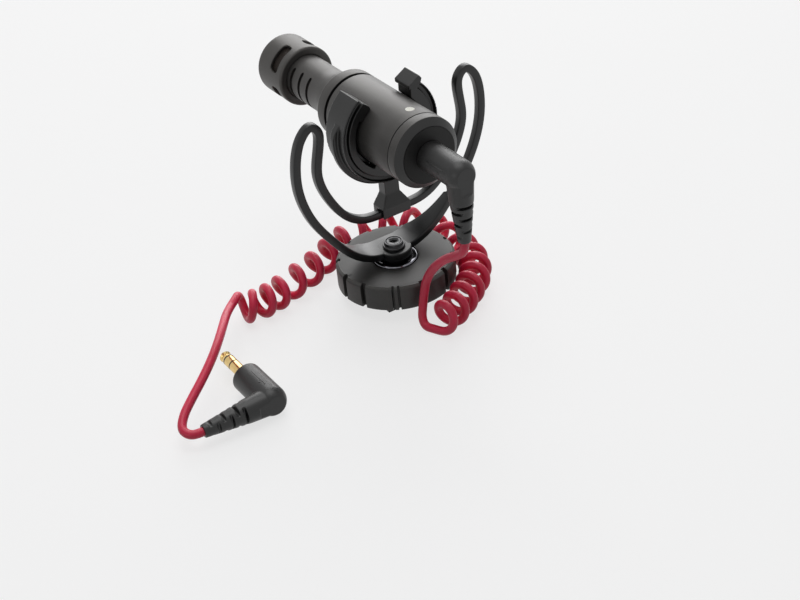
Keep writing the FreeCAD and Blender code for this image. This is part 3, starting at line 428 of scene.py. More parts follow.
def stadium(length, width, steps=8, fullness=1.0):  # a fullness under 1 squares its ends
    ring = []
    for side in (1, -1):
        for step in range(steps + 1):
            angle = -math.pi / 2 + math.pi * step / steps
            out = max(0, math.cos(angle)) ** fullness
            up = math.copysign(abs(math.sin(angle)) ** fullness, angle)
            ring.append(Vector((side * (length / 2 + width / 2 * out), side * width / 2 * up)))
    return ring[steps // 2:] + ring[:steps // 2]


# Geometry Nodes tree that repeats an item on points that carry its turn
def repeatTree():
    tree = bpy.data.node_groups.new("repeatItem", "GeometryNodeTree")
    tree.is_modifier = True
    entries = (("Places", "Geometry"), ("Item", "Object"), ("Item size", "Float"), ("Finish", "Material"))
    for label, kind in entries:
        socket = tree.interface.new_socket(label, in_out="INPUT", socket_type="NodeSocket" + kind)
        if kind == "Float":
            socket.default_value = 1.0
    tree.interface.new_socket("Result", in_out="OUTPUT", socket_type="NodeSocketGeometry")
    made = {}
    for key, kind in (("given", "NodeGroupInput"), ("item", "GeometryNodeObjectInfo"),
                      ("turn", "GeometryNodeInputNamedAttribute"), ("spin", "FunctionNodeEulerToRotation"),
                      ("copies", "GeometryNodeInstanceOnPoints"), ("real", "GeometryNodeRealizeInstances"),
                      ("finish", "GeometryNodeSetMaterial"), ("result", "NodeGroupOutput")):
        made[key] = tree.nodes.new(kind)
    made["turn"].data_type = "FLOAT_VECTOR"
    made["turn"].inputs["Name"].default_value = "turn"
    links = [("given", "Places", "copies", "Points"), ("given", "Item", "item", "Object"),
             ("item", "Geometry", "copies", "Instance"), ("turn", "Attribute", "spin", "Euler"),
             ("spin", "Rotation", "copies", "Rotation"), ("given", "Item size", "copies", "Scale"),
             ("copies", "Instances", "real", "Geometry"), ("real", "Geometry", "finish", "Geometry"),
             ("given", "Finish", "finish", "Material"), ("finish", "Geometry", "result", "Result")]
    for source, output, target, entry in links:
        tree.links.new(made[source].outputs[output], made[target].inputs[entry])
    return tree


repeatItem = repeatTree()


def repeated(name, item, places, finish, size=1.0):
    mesh = bpy.data.meshes.new(name)
    mesh.from_pydata([tuple(spot) for spot, turn in places], [], [])
    turns = mesh.attributes.new("turn", "FLOAT_VECTOR", "POINT")
    for index, (spot, turn) in enumerate(places):
        turns.data[index].vector = turn
    piece = bpy.data.objects.new(name, mesh)
    bpy.context.scene.collection.objects.link(piece)
    copies = piece.modifiers.new("copies", "NODES")
    copies.node_group = repeatItem
    given = {"Item": item, "Item size": size, "Finish": finishes[finish]}
    for socket in repeatItem.interface.items_tree:
        if socket.in_out == "INPUT" and socket.name in given:
            copies[socket.identifier] = given[socket.name]
    baked(piece)
    bpy.data.objects.remove(item)
    return piece

# Camera and light
cameraPlace = {
    "lens": 72, "sensor": 36, "near": 0.01, "far": 20, "spot": (-0.2038, -0.3500, 0.2697),
    "right": (0.82886211, -0.5523452, -0.08889537), "up": (0.37310267, 0.42734968, 0.82350874),
    "back": (-0.41687169, -0.71574229, 0.56029543),
}


def makeCamera(s):
    camera = bpy.data.objects.new("camera", bpy.data.cameras.new("camera"))
    bpy.context.scene.collection.objects.link(camera)
    camera.data.lens = s["lens"]
    camera.data.sensor_width = s["sensor"]
    camera.data.clip_start = s["near"]
    camera.data.clip_end = s["far"]
    turned = Matrix([Vector(s[way]) for way in ("right", "up", "back")]).transposed().to_4x4()
    camera.matrix_world = Matrix.Translation(s["spot"]) @ turned
    bpy.context.scene.camera = camera


lights = {  # place, aim, diameter, radiance where 1 is white
    "behind": ((0.70, 0.98, 0.62), (0, 0, 0.04), 1.22, 2.7),
    "above": ((0.05, 0.10, 0.90), (0, 0, 0.03), 0.80, 1.9),
    "left": ((-0.90, -0.30, 0.35), (0, 0, 0.05), 0.40, 1.2),
}


def makeLights():
    for name, (spot, aim, size, radiance) in lights.items():
        light = bpy.data.lights.new(name, "AREA")
        light.shape = "DISK"
        light.size = size
        light.energy = radiance * math.pi * math.pi * (size / 2) ** 2
        lamp = bpy.data.objects.new(name, light)
        bpy.context.scene.collection.objects.link(lamp)
        lamp.location = spot
        lamp.rotation_euler = (Vector(aim) - Vector(spot)).to_track_quat("-Z", "Y").to_euler()
    world = bpy.data.worlds.new("studio")
    bpy.context.scene.world = world
    world.use_nodes = True
    tree = world.node_tree
    tree.nodes.clear()
    rays = tree.nodes.new("ShaderNodeLightPath")
    seen = rays.outputs["Is Camera Ray"]
    for kind in ("Is Glossy Ray", "Is Transmission Ray"):
        either = tree.nodes.new("ShaderNodeMath")
        either.operation = "MAXIMUM"
        tree.links.new(seen, either.inputs[0])
        tree.links.new(rays.outputs[kind], either.inputs[1])
        seen = either.outputs[0]
    dim = tree.nodes.new("ShaderNodeBackground")
    dim.inputs[0].default_value = (0.95, 0.97, 1.0, 1)
    dim.inputs[1].default_value = 0.16
    white = tree.nodes.new("ShaderNodeBackground")
    white.inputs[1].default_value = 1.0
    both = tree.nodes.new("ShaderNodeMixShader")
    tree.links.new(seen, both.inputs[0])
    tree.links.new(dim.outputs[0], both.inputs[1])
    tree.links.new(white.outputs[0], both.inputs[2])
    result = tree.nodes.new("ShaderNodeOutputWorld")
    tree.links.new(both.outputs[0], result.inputs[0])


def makeFloor():
    mesh = bpy.data.meshes.new("floor")
    reach = 3.0
    corners = [(-reach, -reach, 0), (reach, -reach, 0), (reach, reach, 0), (-reach, reach, 0)]
    mesh.from_pydata(corners, [], [(0, 1, 2, 3)])
    floor = bpy.data.objects.new("floor", mesh)
    bpy.context.scene.collection.objects.link(floor)
    shader = Shader("paleFloor")
    path = shader.node("ShaderNodeLightPath", output="Is Camera Ray")
    outputs = path.socket.node.outputs
    seen = path.most(Wire(shader, outputs["Is Glossy Ray"]))
    seen = seen.most(Wire(shader, outputs["Is Transmission Ray"]))
    grain = shader.noise(60 * mm, 2.0)
    lit = shader.mix(grain, (0.36, 0.36, 0.36), (0.40, 0.40, 0.40))
    shader.set(shader.mix(seen, lit, (0.88, 0.88, 0.88)), 0.75 + grain * 0.1)
    glow = shader.node("ShaderNodeEmission", None, {"Color": (1, 1, 1, 1), "Strength": 1.0})
    solid = Wire(shader, shader.surface.outputs[0])
    both = shader.node("ShaderNodeMixShader", None, {0: seen * 0.7, 1: solid, 2: glow})
    output = next(n for n in shader.tree.nodes if n.type == "OUTPUT_MATERIAL")
    shader.link(output.inputs["Surface"], both)
    mesh.materials.append(shader.material)


makeCamera(cameraPlace)
makeLights()
makeFloor()
bpy.context.scene.view_settings.view_transform = "Standard"
print("camera, lights and floor made")

# Cable: the routes in millimetres, as they lie from the microphone's plug to the far plug
cordSizes = {
    "radius": 1.3,
    "curlRadius": 3.8,
    "curls": 20.5,
    "tightCurls": 7,
    "tightPitch": 5.5,
    "endCurls": 3,
    "endPitch": 5.0,
    "pointsPerCurl": 16,
    "sides": 16,
}
micLead = [
    (0, -38.55, 35.4), (0, -38.55, 31.9), (-0.6, -34.6, 28.9), (-1.4, -29.6, 25.7), (-2.3, -24.6, 20.6),
    (-3.1, -21.6, 15.4), (-3.7, -20.8, 10.8), (-4.5, -20.7, 6.6), (-5.6, -21.3, 3.2), (-6.008, -23.463, 1.3),
    (-4.844, -26.119, 1.3),
]
farLead = [
    (-48.196, 14.734, 8.9), (-50.038, 13.196, 8.9), (-53.4, 8.8, 10.3), (-56.4, 4.2, 11.6),
    (-60.3, -1.4, 12.5), (-65.3, -7.6, 12.6), (-70, -12, 11.6), (-74.6, -15.4, 10.1),
    (-79.2, -18.2, 8.3), (-83.4, -21, 6.6), (-86.1, -24.3, 5.3), (-85.7, -26.9, 4.7),
    (-83.9, -28.4, 4.6), (-81.7, -28.4, 4.6),
]
curlLine = [
    (-3.8, -28.5), (0.8, -27.1), (5.0, -25.0), (9.0, -22.5), (12.9, -19.9), (16.8, -16.8), (20.1, -12.8),
    (22.4, -7.9), (23.6, -2.2), (23.9, 3.6), (24.0, 9.6), (23.8, 15.6), (21.4, 20.9), (16.6, 25.1),
    (10.4, 27.9), (3.4, 28.8), (-3.2, 27.2), (-9.2, 24.3), (-14.4, 21.6), (-19.4, 19.6), (-25.0, 17.9),
    (-30.4, 16.1), (-35.4, 14.7), (-39.6, 14.2), (-43.2, 14.8), (-46.2, 16.4),
]


def smoothLine(name, route, fineness):
    data = bpy.data.curves.new(name, "CURVE")
    data.dimensions = "3D"
    spline = data.splines.new("NURBS")
    spline.points.add(len(route) - 1)
    for point, spot in zip(spline.points, route):
        point.co = (*spot, 1.0)
    spline.order_u = 3
    spline.use_endpoint_u = True
    spline.resolution_u = fineness
    line = bpy.data.objects.new(name, data)
    bpy.context.scene.collection.objects.link(line)
    bpy.context.view_layer.update()
    mesh = bpy.data.meshes.new_from_object(line.evaluated_get(bpy.context.evaluated_depsgraph_get()))
    spots = [v.co.copy() for v in mesh.vertices]
    bpy.data.objects.remove(line)
    bpy.data.meshes.remove(mesh)
    return spots


def curledRoute(sizes):
    axis = smoothLine("curlAxis", [Vector((x, y, 0)) * mm for x, y in curlLine], 24)
    steps = [0.0]
    for before, after in zip(axis, axis[1:]):
        steps.append(steps[-1] + (after - before).length / mm)
    ending = sizes["curls"] - sizes["endCurls"]
    pitched = sizes["tightCurls"] * sizes["tightPitch"] + sizes["endCurls"] * sizes["endPitch"]
    loose = (steps[-1] - pitched) / (ending - sizes["tightCurls"])
    places = np.array(axis) / mm
    count = int(sizes["curls"] * sizes["pointsPerCurl"])
    route = []
    for index in range(count + 1):
        turned = index / sizes["pointsPerCurl"]
        tight = min(turned, sizes["tightCurls"])
        last = max(turned - ending, 0)
        distance = tight * sizes["tightPitch"] + (turned - tight - last) * loose + last * sizes["endPitch"]
        spot = Vector([np.interp(distance, steps, places[:, k]) for k in range(3)])
        ahead = Vector([np.interp(distance + 0.5, steps, places[:, k]) for k in range(3)])
        behind = Vector([np.interp(distance - 0.5, steps, places[:, k]) for k in range(3)])
        along = (ahead - behind).normalized()
        side = Vector((along.y, -along.x, 0))
        angle = 2 * math.pi * turned
        lift = sizes["radius"] + sizes["curlRadius"] * (1 - math.cos(angle))
        route.append(spot + side * (sizes["curlRadius"] * math.sin(angle)) + Vector((0, 0, lift)))
    return route


def makeCord(sizes):
    route = [Vector(p) for p in micLead] + curledRoute(sizes) + [Vector(p) for p in farLead]
    path = smoothLine("cordLine", [p * mm for p in route], 6)
    sides = sizes["sides"]
    radius = sizes["radius"] * mm
    ways = [(b - a).normalized() for a, b in zip(path, path[1:])]
    ways.append(ways[-1])
    across = ways[0].orthogonal().normalized()
    points = []
    along = [0.0]
    for index, spot in enumerate(path):
        way = (ways[index - 1] + ways[index]).normalized() if index else ways[0]
        across = (across - way * across.dot(way)).normalized()
        other = way.cross(across)
        for side in range(sides):
            angle = 2 * math.pi * side / sides
            points.append(spot + (across * math.cos(angle) + other * math.sin(angle)) * radius)
        if index:
            along.append(along[-1] + (spot - path[index - 1]).length)
    faces = ringFaces(len(path), sides, False)
    faces.append(tuple(range(sides)))
    faces.append(tuple(range((len(path) - 1) * sides, len(path) * sides)))
    cord = pieceFrom("cord", points, faces, "cord", 60)
    print("cord length", round(along[-1] * 1000, 1), "mm")
    return cord, path, along[-1]


cord, cordPath, cordLength = makeCord(cordSizes)
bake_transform(cord)
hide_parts("cord_lead_mic", "cord_coil", "cord_lead_camera")

# Plugs: the CAD mouldings with soft edges, a mould line and an ejector mark
plugDetail = {"voxel": 0.15, "passes": 8, "seam": 0.14, "seamTaper": 0.3, "seamLength": 8.2,
              "markInner": 0.34, "markOuter": 0.56, "markBottom": -0.1, "markTop": 0.14, "markRound": 0.05}
seamCorners = [(0, 0), (plugDetail["seam"], plugDetail["seamTaper"]),
               (plugDetail["seam"], plugDetail["seamLength"] - plugDetail["seamTaper"]),
               (0, plugDetail["seamLength"])]
markCorners = [(plugDetail["markInner"], plugDetail["markBottom"]),
               (plugDetail["markOuter"], plugDetail["markBottom"]),
               (plugDetail["markOuter"], plugDetail["markTop"], plugDetail["markRound"]),
               (plugDetail["markInner"], plugDetail["markTop"], plugDetail["markRound"])]
plugSizes = {
    "mic": {"seam": (-4.05, -36.9, 58.2), "mark": (-4.32, -34.4, 56.8), "body": "microphone"},
    "camera": {"seam": (-60.6, -26.7, 8.95), "mark": (-61.0, -24.2, 8.9), "body": "foot"},
}
plugs = {}
for plugName, sizes in plugSizes.items():
    moulding = cadCopy(plugName + "PlugMoulding", plugName + "_plug_body", "plug")
    softEdged(moulding, "plug", plugDetail["voxel"] * mm, plugDetail["passes"])
    along = Matrix.Translation(Vector(sizes["seam"]) * mm) @ Matrix.Rotation(-math.pi / 2, 4, "X")
    seam = lathed("seam", seamCorners, "plug", along, 16)
    facing = Matrix.Rotation(-math.pi / 2, 4, "Y") if plugName == "mic" else Matrix.Identity(4)
    mark = lathed("mark", markCorners, "plug", Matrix.Translation(Vector(sizes["mark"]) * mm) @ facing, 32, 2)
    joined(moulding, seam, mark)
    put(moulding, sizes["body"], "plug", plugName + "_plug_body")
    plugs[plugName] = moulding
onCord = list(plugs.values())
for plugName in ("mic", "camera"):
    for contact in ("sleeve", "ring", "tip", "insulators"):
        onCord.append(nodes[f"{plugName}_plug_{contact}"])
print("cord and plugs made")

# Tube, rear ring, neck and cap
tubeSizes = {"outer": 10.5, "bore": 9.4, "rear": 3.3, "front": 35.3, "edge": 0.15}
ringSizes = {"outer": 10.5, "rear": -1.9, "band": 3.0, "groove": 0.5, "plate": 8.4, "seat": 7.6,
             "collar": 9.35, "collarRear": 3.3, "collarFront": 7.3, "plateStep": -0.5,
             "outerRound": 0.25, "bandRound": 0.12, "plateRound": 0.1}
neckSizes = {"flange": 10.5, "rear": 36.5, "front": 40.0, "flareStart": 40.3, "flareEnd": 51.1, "neck": 6.95,
             "end": 69.0, "slit": 52.4, "pitch": 4.6, "slitWidth": 1.3, "slitHeight": 10.6, "slits": 3,
             "slitReach": 8, "collar": 9.35, "collarRear": 31.3, "collarFront": 35.3, "step": 9.7,
             "bore": 6.2, "boreRear": 46.0, "taper": 8.55, "taperFront": 38.5, "flareGap": 0.3,
             "flareSteps": 24, "rearRound": 0.15, "frontRound": 0.3, "frontOver": 0.05}
capSizes = {"outer": 9.35, "bore": 8.45, "rear": 63.7, "front": 78.1, "opening": 5.8, "edge": 1.5,
            "rearEdge": 0.75, "slot": 68.35, "slotWidth": 4.1, "slotSpan": 34, "firstSlot": 132, "slots": 4,
            "slotInner": 6.8, "slotOuter": 10.8, "neckBore": 7.0, "rearWall": 1.5, "frontWall": 1.0,
            "neckRound": 0.15, "openingRound": 0.3}


def makeTube(s):
    corners = [(s["outer"], s["rear"], s["edge"]), (s["outer"], s["front"], s["edge"]),
               (s["bore"], s["front"]), (s["bore"], s["rear"])]
    put(lathed("tubeShell", corners, "tube", micAxis, 192), "microphone", "anodised", "main_tube")


def makeRearRing(s):
    groove = s["outer"] - s["groove"]
    corners = [(s["outer"], 0, s["outerRound"]), (s["outer"], s["band"], s["bandRound"]),
               (groove, s["band"]), (groove, s["collarRear"]), (s["collar"], s["collarRear"]),
               (s["collar"], s["collarFront"]), (s["seat"], s["collarFront"]), (s["seat"], s["plateStep"]),
               (s["plate"], s["plateStep"]), (s["plate"], s["rear"], s["plateRound"])]
    put(lathed("rearRing", corners, "tube", micAxis, 192, 8), "microphone", "anodised", "rear_ring")


def makeNeck(s):
    rise = s["flange"] - s["flareGap"] - s["neck"]
    run = s["flareEnd"] - s["flareStart"]
    sweep = (run * run + rise * rise) / (2 * rise)
    corners = [(s["collar"], s["collarRear"]), (s["collar"], s["collarFront"]), (s["step"], s["collarFront"]),
               (s["step"], s["rear"]), (s["flange"], s["rear"], s["rearRound"]),
               (s["flange"], s["front"] + s["frontOver"], s["frontRound"])]
    start = math.asin(run / sweep)
    for step in range(s["flareSteps"]):
        angle = start * (1 - step / s["flareSteps"])
        corners.append((s["neck"] + sweep * (1 - math.cos(angle)), s["flareEnd"] - sweep * math.sin(angle)))
    corners += [(s["neck"], s["flareEnd"]), (s["neck"], s["end"]), (s["bore"], s["end"]),
                (s["bore"], s["boreRear"]), (s["taper"], s["taperFront"]), (s["taper"], s["collarRear"])]
    neck = lathed("neckShell", corners, "tube", micAxis, 192)
    ring = stadium(s["slitHeight"] - s["slitWidth"], s["slitWidth"])
    item = prism("slitTool", ring, "tube", lambda p: Vector((-s["slitReach"], p.y, p.x)) * mm,
                 lambda p: Vector((s["slitReach"], p.y, p.x)) * mm)
    places = []
    for index in range(s["slits"]):
        station = s["slit"] + s["pitch"] * index - micPlace["behind"]
        places.append((Vector((0, station, micPlace["height"])) * mm, (0, 0, 0)))
    cutBy(neck, repeated("slits", item, places, "tube"))
    neck.data.set_sharp_from_angle(angle=math.radians(35))
    put(neck, "microphone", "anodised", "neck_body")


def makeCap(s):
    front = s["front"] - s["frontWall"]
    rear = s["rear"] + s["rearWall"]
    corners = [(s["neckBore"], s["rear"], s["neckRound"]), (s["outer"], s["rear"], s["rearEdge"]),
               (s["outer"], s["front"], s["edge"]), (s["opening"], s["front"], s["openingRound"]),
               (s["opening"], front), (s["bore"], front), (s["bore"], rear), (s["neckBore"], rear)]
    cap = lathed("capShell", corners, "cap", micAxis, 192, 6)
    arc = math.radians(s["slotSpan"])
    ring = stadium(s["outer"] * arc, s["slotWidth"], 16, 0.6)

    def onRadius(radius):
        def spot(p):
            angle = p.x / s["outer"]
            station = s["slot"] + p.y - micPlace["behind"]
            return Vector((radius * math.cos(angle), station, radius * math.sin(angle))) * mm
        return spot

    item = prism("slotTool", ring, "cap", onRadius(s["slotInner"]), onRadius(s["slotOuter"]))
    turns = [(0, -math.radians(s["firstSlot"] + 360 / s["slots"] * i), 0) for i in range(s["slots"])]
    middle = Vector((0, 0, micPlace["height"])) * mm
    cutBy(cap, repeated("slots", item, [(middle, turn) for turn in turns], "cap"))
    softEdged(cap, "cap", 0.16 * mm, 2)
    put(cap, "microphone", "cap", "front_cap")


makeTube(tubeSizes)
makeRearRing(ringSizes)
makeNeck(neckSizes)
makeCap(capSizes)
print("tube, ring, neck and cap made")

# Clip
clip = softEdged(cadCopy("clipMoulding", "mic_clip", "clip"), "clip", 0.2 * mm, 2)
put(clip, "microphone", "clip", "mic_clip")
print("clip made")

# Lyre: one closed band, drawn as an outer part and an inner part that meet at the tips
lyreSizes = {
    "half": 31.4, "foot": 14.2, "seat": 29.5, "tip": 67.6, "band": 2.4, "depth": 2.4, "rear": 1.7,
    "lean": 5.7, "edge": 0.32, "webFront": 7.0, "webHalf": 9.0, "webEnd": 20.5, "webEndFront": 0.4,
    "boss": 5.2, "bossHole": 1.55, "bossRound": 0.3, "samples": 420,
}
outerShares = [(0, 0), (0.13, 0), (0.254, 0.015), (0.476, 0.099), (0.698, 0.259), (0.841, 0.390),
               (0.921, 0.493), (0.990, 0.653), (0.994, 0.790), (0.962, 0.895), (0.898, 0.970), (0.820, 1)]
innerShares = [(0.758, 0.955), (0.743, 0.855), (0.768, 0.724), (0.784, 0.592), (0.749, 0.447),
               (0.654, 0.276), (0.508, 0.108), (0.333, 0.018), (0.159, 0), (0, 0)]


def closedSpline(points, count):  # a smooth closed line through points, evenly sampled
    knots = np.array(points + points[:1], float)
    chords = np.linalg.norm(np.diff(knots, axis=0), axis=1)
    size = len(points)
    system = np.zeros((size, size))
    right = np.zeros((size, 2))
    for i in range(size):
        before, after = chords[i - 1], chords[i]
        system[i, i] = 2 * (before + after)
        system[i, (i - 1) % size] += after
        system[i, (i + 1) % size] += before
        right[i] = 3 * (after * (knots[i] - knots[i - 1 if i else size - 1]) / before
                        + before * (knots[i + 1] - knots[i]) / after)
    slopes = np.linalg.solve(system, right)
    fine = []
    for i in range(size):
        for t in np.linspace(0, 1, 60, endpoint=False):
            a, b = knots[i], knots[i + 1]
            sa, sb = slopes[i] * chords[i], slopes[(i + 1) % size] * chords[i]
            fine.append(a * (2 * t**3 - 3 * t**2 + 1) + sa * (t**3 - 2 * t**2 + t)
                        + b * (3 * t**2 - 2 * t**3) + sb * (t**3 - t**2))
    fine = np.array(fine + fine[:1])
    steps = np.concatenate([[0], np.cumsum(np.linalg.norm(np.diff(fine, axis=0), axis=1))])
    wanted = np.linspace(0, steps[-1], count, endpoint=False)
    return np.stack([np.interp(wanted, steps, fine[:, k]) for k in range(2)], 1)


def lyreSection(across, depth, edge, steps=3):  # a rounded rectangle: (across the band, forward)
    corners = [(-across, 0, edge), (across, 0, edge), (across, depth, edge), (-across, depth, edge)]
    return outlineOf(corners, steps)


def makeLyre(s):
    outer = [(x * s["half"], s["foot"] + z * (s["tip"] - s["foot"])) for x, z in outerShares]
    inner = [(x * s["half"], s["seat"] + z * (s["tip"] - s["seat"])) for x, z in innerShares]
    right = outer + inner
    line = closedSpline(right + [(-x, z) for x, z in reversed(right[1:-1])], s["samples"])
    count = len(line)
    lean = math.radians(s["lean"])
    tips = sorted(range(count), key=lambda i: -line[i][1])
    rightTip = next(i for i in tips if line[i][0] > 0)
    leftTip = count - rightTip
    points = []
    for index in range(count):
        x, z = line[index]
        along = line[(index + 1) % count] - line[index - 1]
        along /= np.linalg.norm(along)
        depth = s["depth"]
        rise = (z - s["foot"]) * math.sin(lean)
        onOuter = index <= rightTip or index >= leftTip
        if onOuter and abs(x) < s["webEnd"]:
            share = min(1, max(0, (abs(x) - s["webHalf"]) / (s["webEnd"] - s["webHalf"])))
            front = s["webFront"] + share * (s["webEndFront"] - s["webFront"])
            depth = max(depth, front + s["rear"] + rise)
        for across, forward in lyreSection(s["band"] / 2, depth, s["edge"]):
            px = x + along[1] * across
            pz = z - along[0] * across
            leaned = pz - s["foot"]
            points.append(Vector((px, forward - s["rear"] - leaned * math.sin(lean),
                                  s["foot"] + leaned * math.cos(lean))) * mm)
    sides = len(points) // count
    whole = pieceFrom("lyreWhole", points, ringFaces(count, sides), "lyre", 50)
    normals = [n.vector.copy() for n in whole.data.vertex_normals]
    bpy.data.objects.remove(whole)
    for name, rings in (("lyreOuter", list(range(leftTip, count)) + list(range(rightTip + 1))),
                        ("lyreInner", list(range(rightTip, leftTip + 1)))):
        picked = [ring * sides + side for ring in rings for side in range(sides)]
        faces = ringFaces(len(rings), sides, False)
        faces.append(tuple(range(sides)))
        faces.append(tuple(range((len(rings) - 1) * sides, len(rings) * sides)))
        part = pieceFrom(name, [points[i] for i in picked], faces, "lyre", 80)
        if len(part.data.vertices) == len(picked):
            part.data.normals_split_custom_set_from_vertices([normals[i] for i in picked])
        if name == "lyreOuter":
            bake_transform(part)
            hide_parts("lyre")
        else:
            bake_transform(part)
    plate = s["foot"] - s["band"] / 2
    boss = [(s["bossHole"], plate), (s["boss"], plate, s["bossRound"]),
            (s["boss"], plate + s["band"], s["bossRound"]), (s["bossHole"], plate + s["band"])]
    put(lathed("lyreBoss", boss, "lyre", wheelAxis, 96), "foot", "lyre")


makeLyre(lyreSizes)
print("lyre made")

# Wheel: a turned shape whose rim steps in at the notches
wheelSizes = {
    "radius": 18.0, "bottom": 4.2, "top": 12.0, "land": 2.0, "dish": 0.3, "recess": 7.0, "recessDepth": 1.2,
    "bore": 3.23, "topEdge": 0.8, "topRound": 0.25, "bottomRound": 0.5, "notchDepth": 1.5, "wallEase": 0.1,
}
notches = [(178.5, 1.55), (-156, 1.55), (-126, 0.65), (-120.5, 0.65), (-97, 1.55), (-67, 1.55), (-37, 1.55),
           (-7, 1.55), (23, 1.55), (53, 1.55), (83, 1.55), (113, 1.55), (147, 1.55)]


def makeWheel(s):
    inner = s["radius"] - s["notchDepth"]
    outline = outlineOf([
        (s["bore"], s["bottom"]), (s["radius"], s["bottom"], s["bottomRound"]),
        (s["radius"], s["top"] - s["topEdge"], s["topRound"]),
        (s["radius"] - s["topEdge"], s["top"], s["topRound"]),
        (inner - 0.05, s["top"]),
        (s["radius"] - s["land"] - 0.4, s["top"], 0.3), (s["recess"], s["top"] - s["dish"], 0.25),
        (s["recess"], s["top"] - s["recessDepth"]), (s["bore"], s["top"] - s["recessDepth"]),
    ], 6)
    rows = []
    for index, spot in enumerate(outline):
        follower = outline[(index + 1) % len(outline)]
        parts = 4 if spot.x > inner and follower.x > inner and abs(follower.y - spot.y) > 2 else 1
        rows += [spot.lerp(follower, part / parts) for part in range(parts)]
    ease = s["wallEase"] / s["radius"]
    angles = {round(2 * math.pi * i / 180 - math.pi, 6) for i in range(180)}
    for degrees, width in notches:
        half = width / 2 / s["radius"]
        middle = math.radians(degrees)
        for step in range(7):
            for side in (-1, 1):
                angles.add(round(middle + side * (half - ease / 2 + ease * step / 6), 6))

    def notchAt(angle):
        deepest = 0
        for degrees, width in notches:
            away = abs((angle - math.radians(degrees) + math.pi) % (2 * math.pi) - math.pi)
            share = (width / 2 / s["radius"] + ease / 2 - away) / ease
            share = min(1, max(0, share))
            deepest = max(deepest, share * share * (3 - 2 * share))
        return deepest

    angles = sorted(angles)
    points = []
    for angle in angles:
        deep = notchAt(angle)
        for radius, height in rows:
            if radius > inner:
                radius -= deep * (radius - inner) * 0.97
            points.append(Vector((radius * math.cos(angle), radius * math.sin(angle), height)) * mm)
    wheel = pieceFrom("lockingWheel", points, ringFaces(len(angles), len(rows)), "wheel", 50)
    put(wheel, "wheel", "wheel", "locking_wheel")


makeWheel(wheelSizes)

# Hub ring, washer and screw
hubSizes = {"bore": 3.23, "outer": 6.75, "bottom": 10.8, "top": 12.0, "topRound": 0.45, "crown": 5.3,
            "crownTop": 12.15, "crownRound": 0.3, "seat": 11.9, "seatRound": 0.1}
washerSizes = {"bore": 1.55, "outer": 3.4, "bottom": 15.4, "bottomRound": 0.1, "flange": 16.3, "collar": 2.9,
               "top": 17.3, "topRound": 0.25, "innerRound": 0.12, "seat": 2.35, "seatHeight": 16.1}
screwSizes = {"end": 6.5, "shank": 1.5, "endRound": 0.3, "seat": 16.1, "head": 2.3, "seatRound": 0.08,
              "top": 17.2, "topRound": 0.28, "hexagon": 1.27, "hexagonFloor": 16.4, "hexagonReach": 18}


def makeHubRing(s):
    corners = [(s["bore"], s["bottom"]), (s["outer"], s["bottom"]), (s["outer"], s["top"], s["topRound"]),
               (s["crown"], s["crownTop"], s["crownRound"]), (s["crown"], s["seat"], s["seatRound"]),
               (s["bore"], s["seat"])]
    put(lathed("hubRing", corners, "ring", wheelAxis, 128, 8), "ring_carrier", "ring", "hub_ring")


def makeWasher(s):
    corners = [(s["bore"], s["bottom"]), (s["outer"], s["bottom"], s["bottomRound"]),
               (s["outer"], s["flange"], s["topRound"]), (s["collar"], s["flange"], s["innerRound"]),
               (s["collar"], s["top"], s["topRound"]), (s["seat"], s["top"], s["innerRound"]),
               (s["seat"], s["seatHeight"]), (s["bore"], s["seatHeight"])]
    put(lathed("steppedWasher", corners, "blackSteel", wheelAxis, 96), "foot", "washer", "lyre_washer")


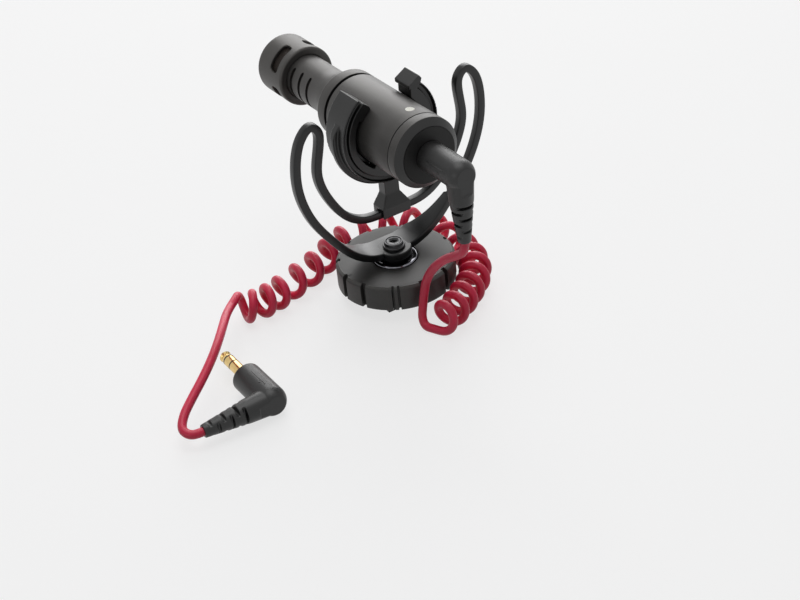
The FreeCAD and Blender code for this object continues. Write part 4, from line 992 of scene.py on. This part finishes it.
def makeScrew(s):
    corners = [(0, s["end"]), (s["shank"], s["end"], s["endRound"]), (s["shank"], s["seat"]),
               (s["head"], s["seat"], s["seatRound"]), (s["head"], s["top"], s["topRound"]), (0, s["top"])]
    screw = lathed("socketScrew", corners, "blackSteel", wheelAxis, 96)
    turns = [math.pi * i / 3 for i in range(6)]
    hexagon = [Vector((s["hexagon"] * math.cos(turn), s["hexagon"] * math.sin(turn))) for turn in turns]
    tool = prism("hexTool", hexagon, "blackSteel", lambda p: Vector((p.x, p.y, s["hexagonFloor"])) * mm,
                 lambda p: Vector((p.x, p.y, s["hexagonReach"])) * mm)
    put(cutBy(screw, tool), "foot", "steel", "lyre_screw")


makeHubRing(hubSizes)
makeWasher(washerSizes)
makeScrew(screwSizes)

# Shoe foot, and the bush with its real thread
foot = cadCopy("shoeFoot", "shoe_foot", "foot")
softEdged(foot, "foot", 0.16 * mm, 2)
put(foot, "foot", "foot", "shoe_foot")
threadSizes = {"outer": 5.4, "crest": 4.0, "root": 4.72, "length": 3.6, "pitch": 1.5875, "chamfer": 0.25,
               "leadIn": 0.5, "segments": 96, "rows": 34}


def makeBush(s):
    segments = s["segments"]
    rows = s["rows"]
    points = []
    for index in range(segments):
        angle = 2 * math.pi * index / segments
        ring = [(s["outer"], s["chamfer"]), (s["outer"], s["length"])]
        for row in range(rows + 1):
            height = s["length"] * (1 - row / rows)
            phase = (height / s["pitch"] - angle / (2 * math.pi)) % 1
            deep = min(1, max(0, 1.25 - abs(phase - 0.5) * 3.2))
            lead = min(1, height / s["leadIn"])
            ring.append((s["crest"] + (s["root"] - s["crest"]) * max(deep, 1 - lead), height))
        ring.append((s["outer"] - s["chamfer"], 0))
        for radius, height in ring:
            points.append(Vector((radius * math.cos(angle), radius * math.sin(angle), height)) * mm)
    bush = pieceFrom("threadBush", points, ringFaces(segments, rows + 4), "steel", 30)
    put(bush, "foot", "steel", "thread_insert")


makeBush(threadSizes)
print("wheel, ring, screw, foot and bush made")

# Finishes of the CAD pieces that stay
kept = {
    "end_plate": "plate", "jack_socket": "socket", "index_dot": "dot",
    "cap_mesh": "screen", "neck_mesh": "neckScreen",
    "capsule_carrier": "carrier", "capsule": "nickel", "circuit_board": "board", "board_parts": "parts",
    "mic_plug_sleeve": "gold", "mic_plug_ring": "gold", "mic_plug_tip": "gold",
    "mic_plug_insulators": "insulator",
    "camera_plug_sleeve": "gold", "camera_plug_ring": "gold", "camera_plug_tip": "gold",
    "camera_plug_insulators": "insulator",
}
for nodeName, finish in kept.items():
    nodes[nodeName].data.materials.clear()
    nodes[nodeName].data.materials.append(finishes[finish])
print("finishes on the kept pieces:", len(kept))
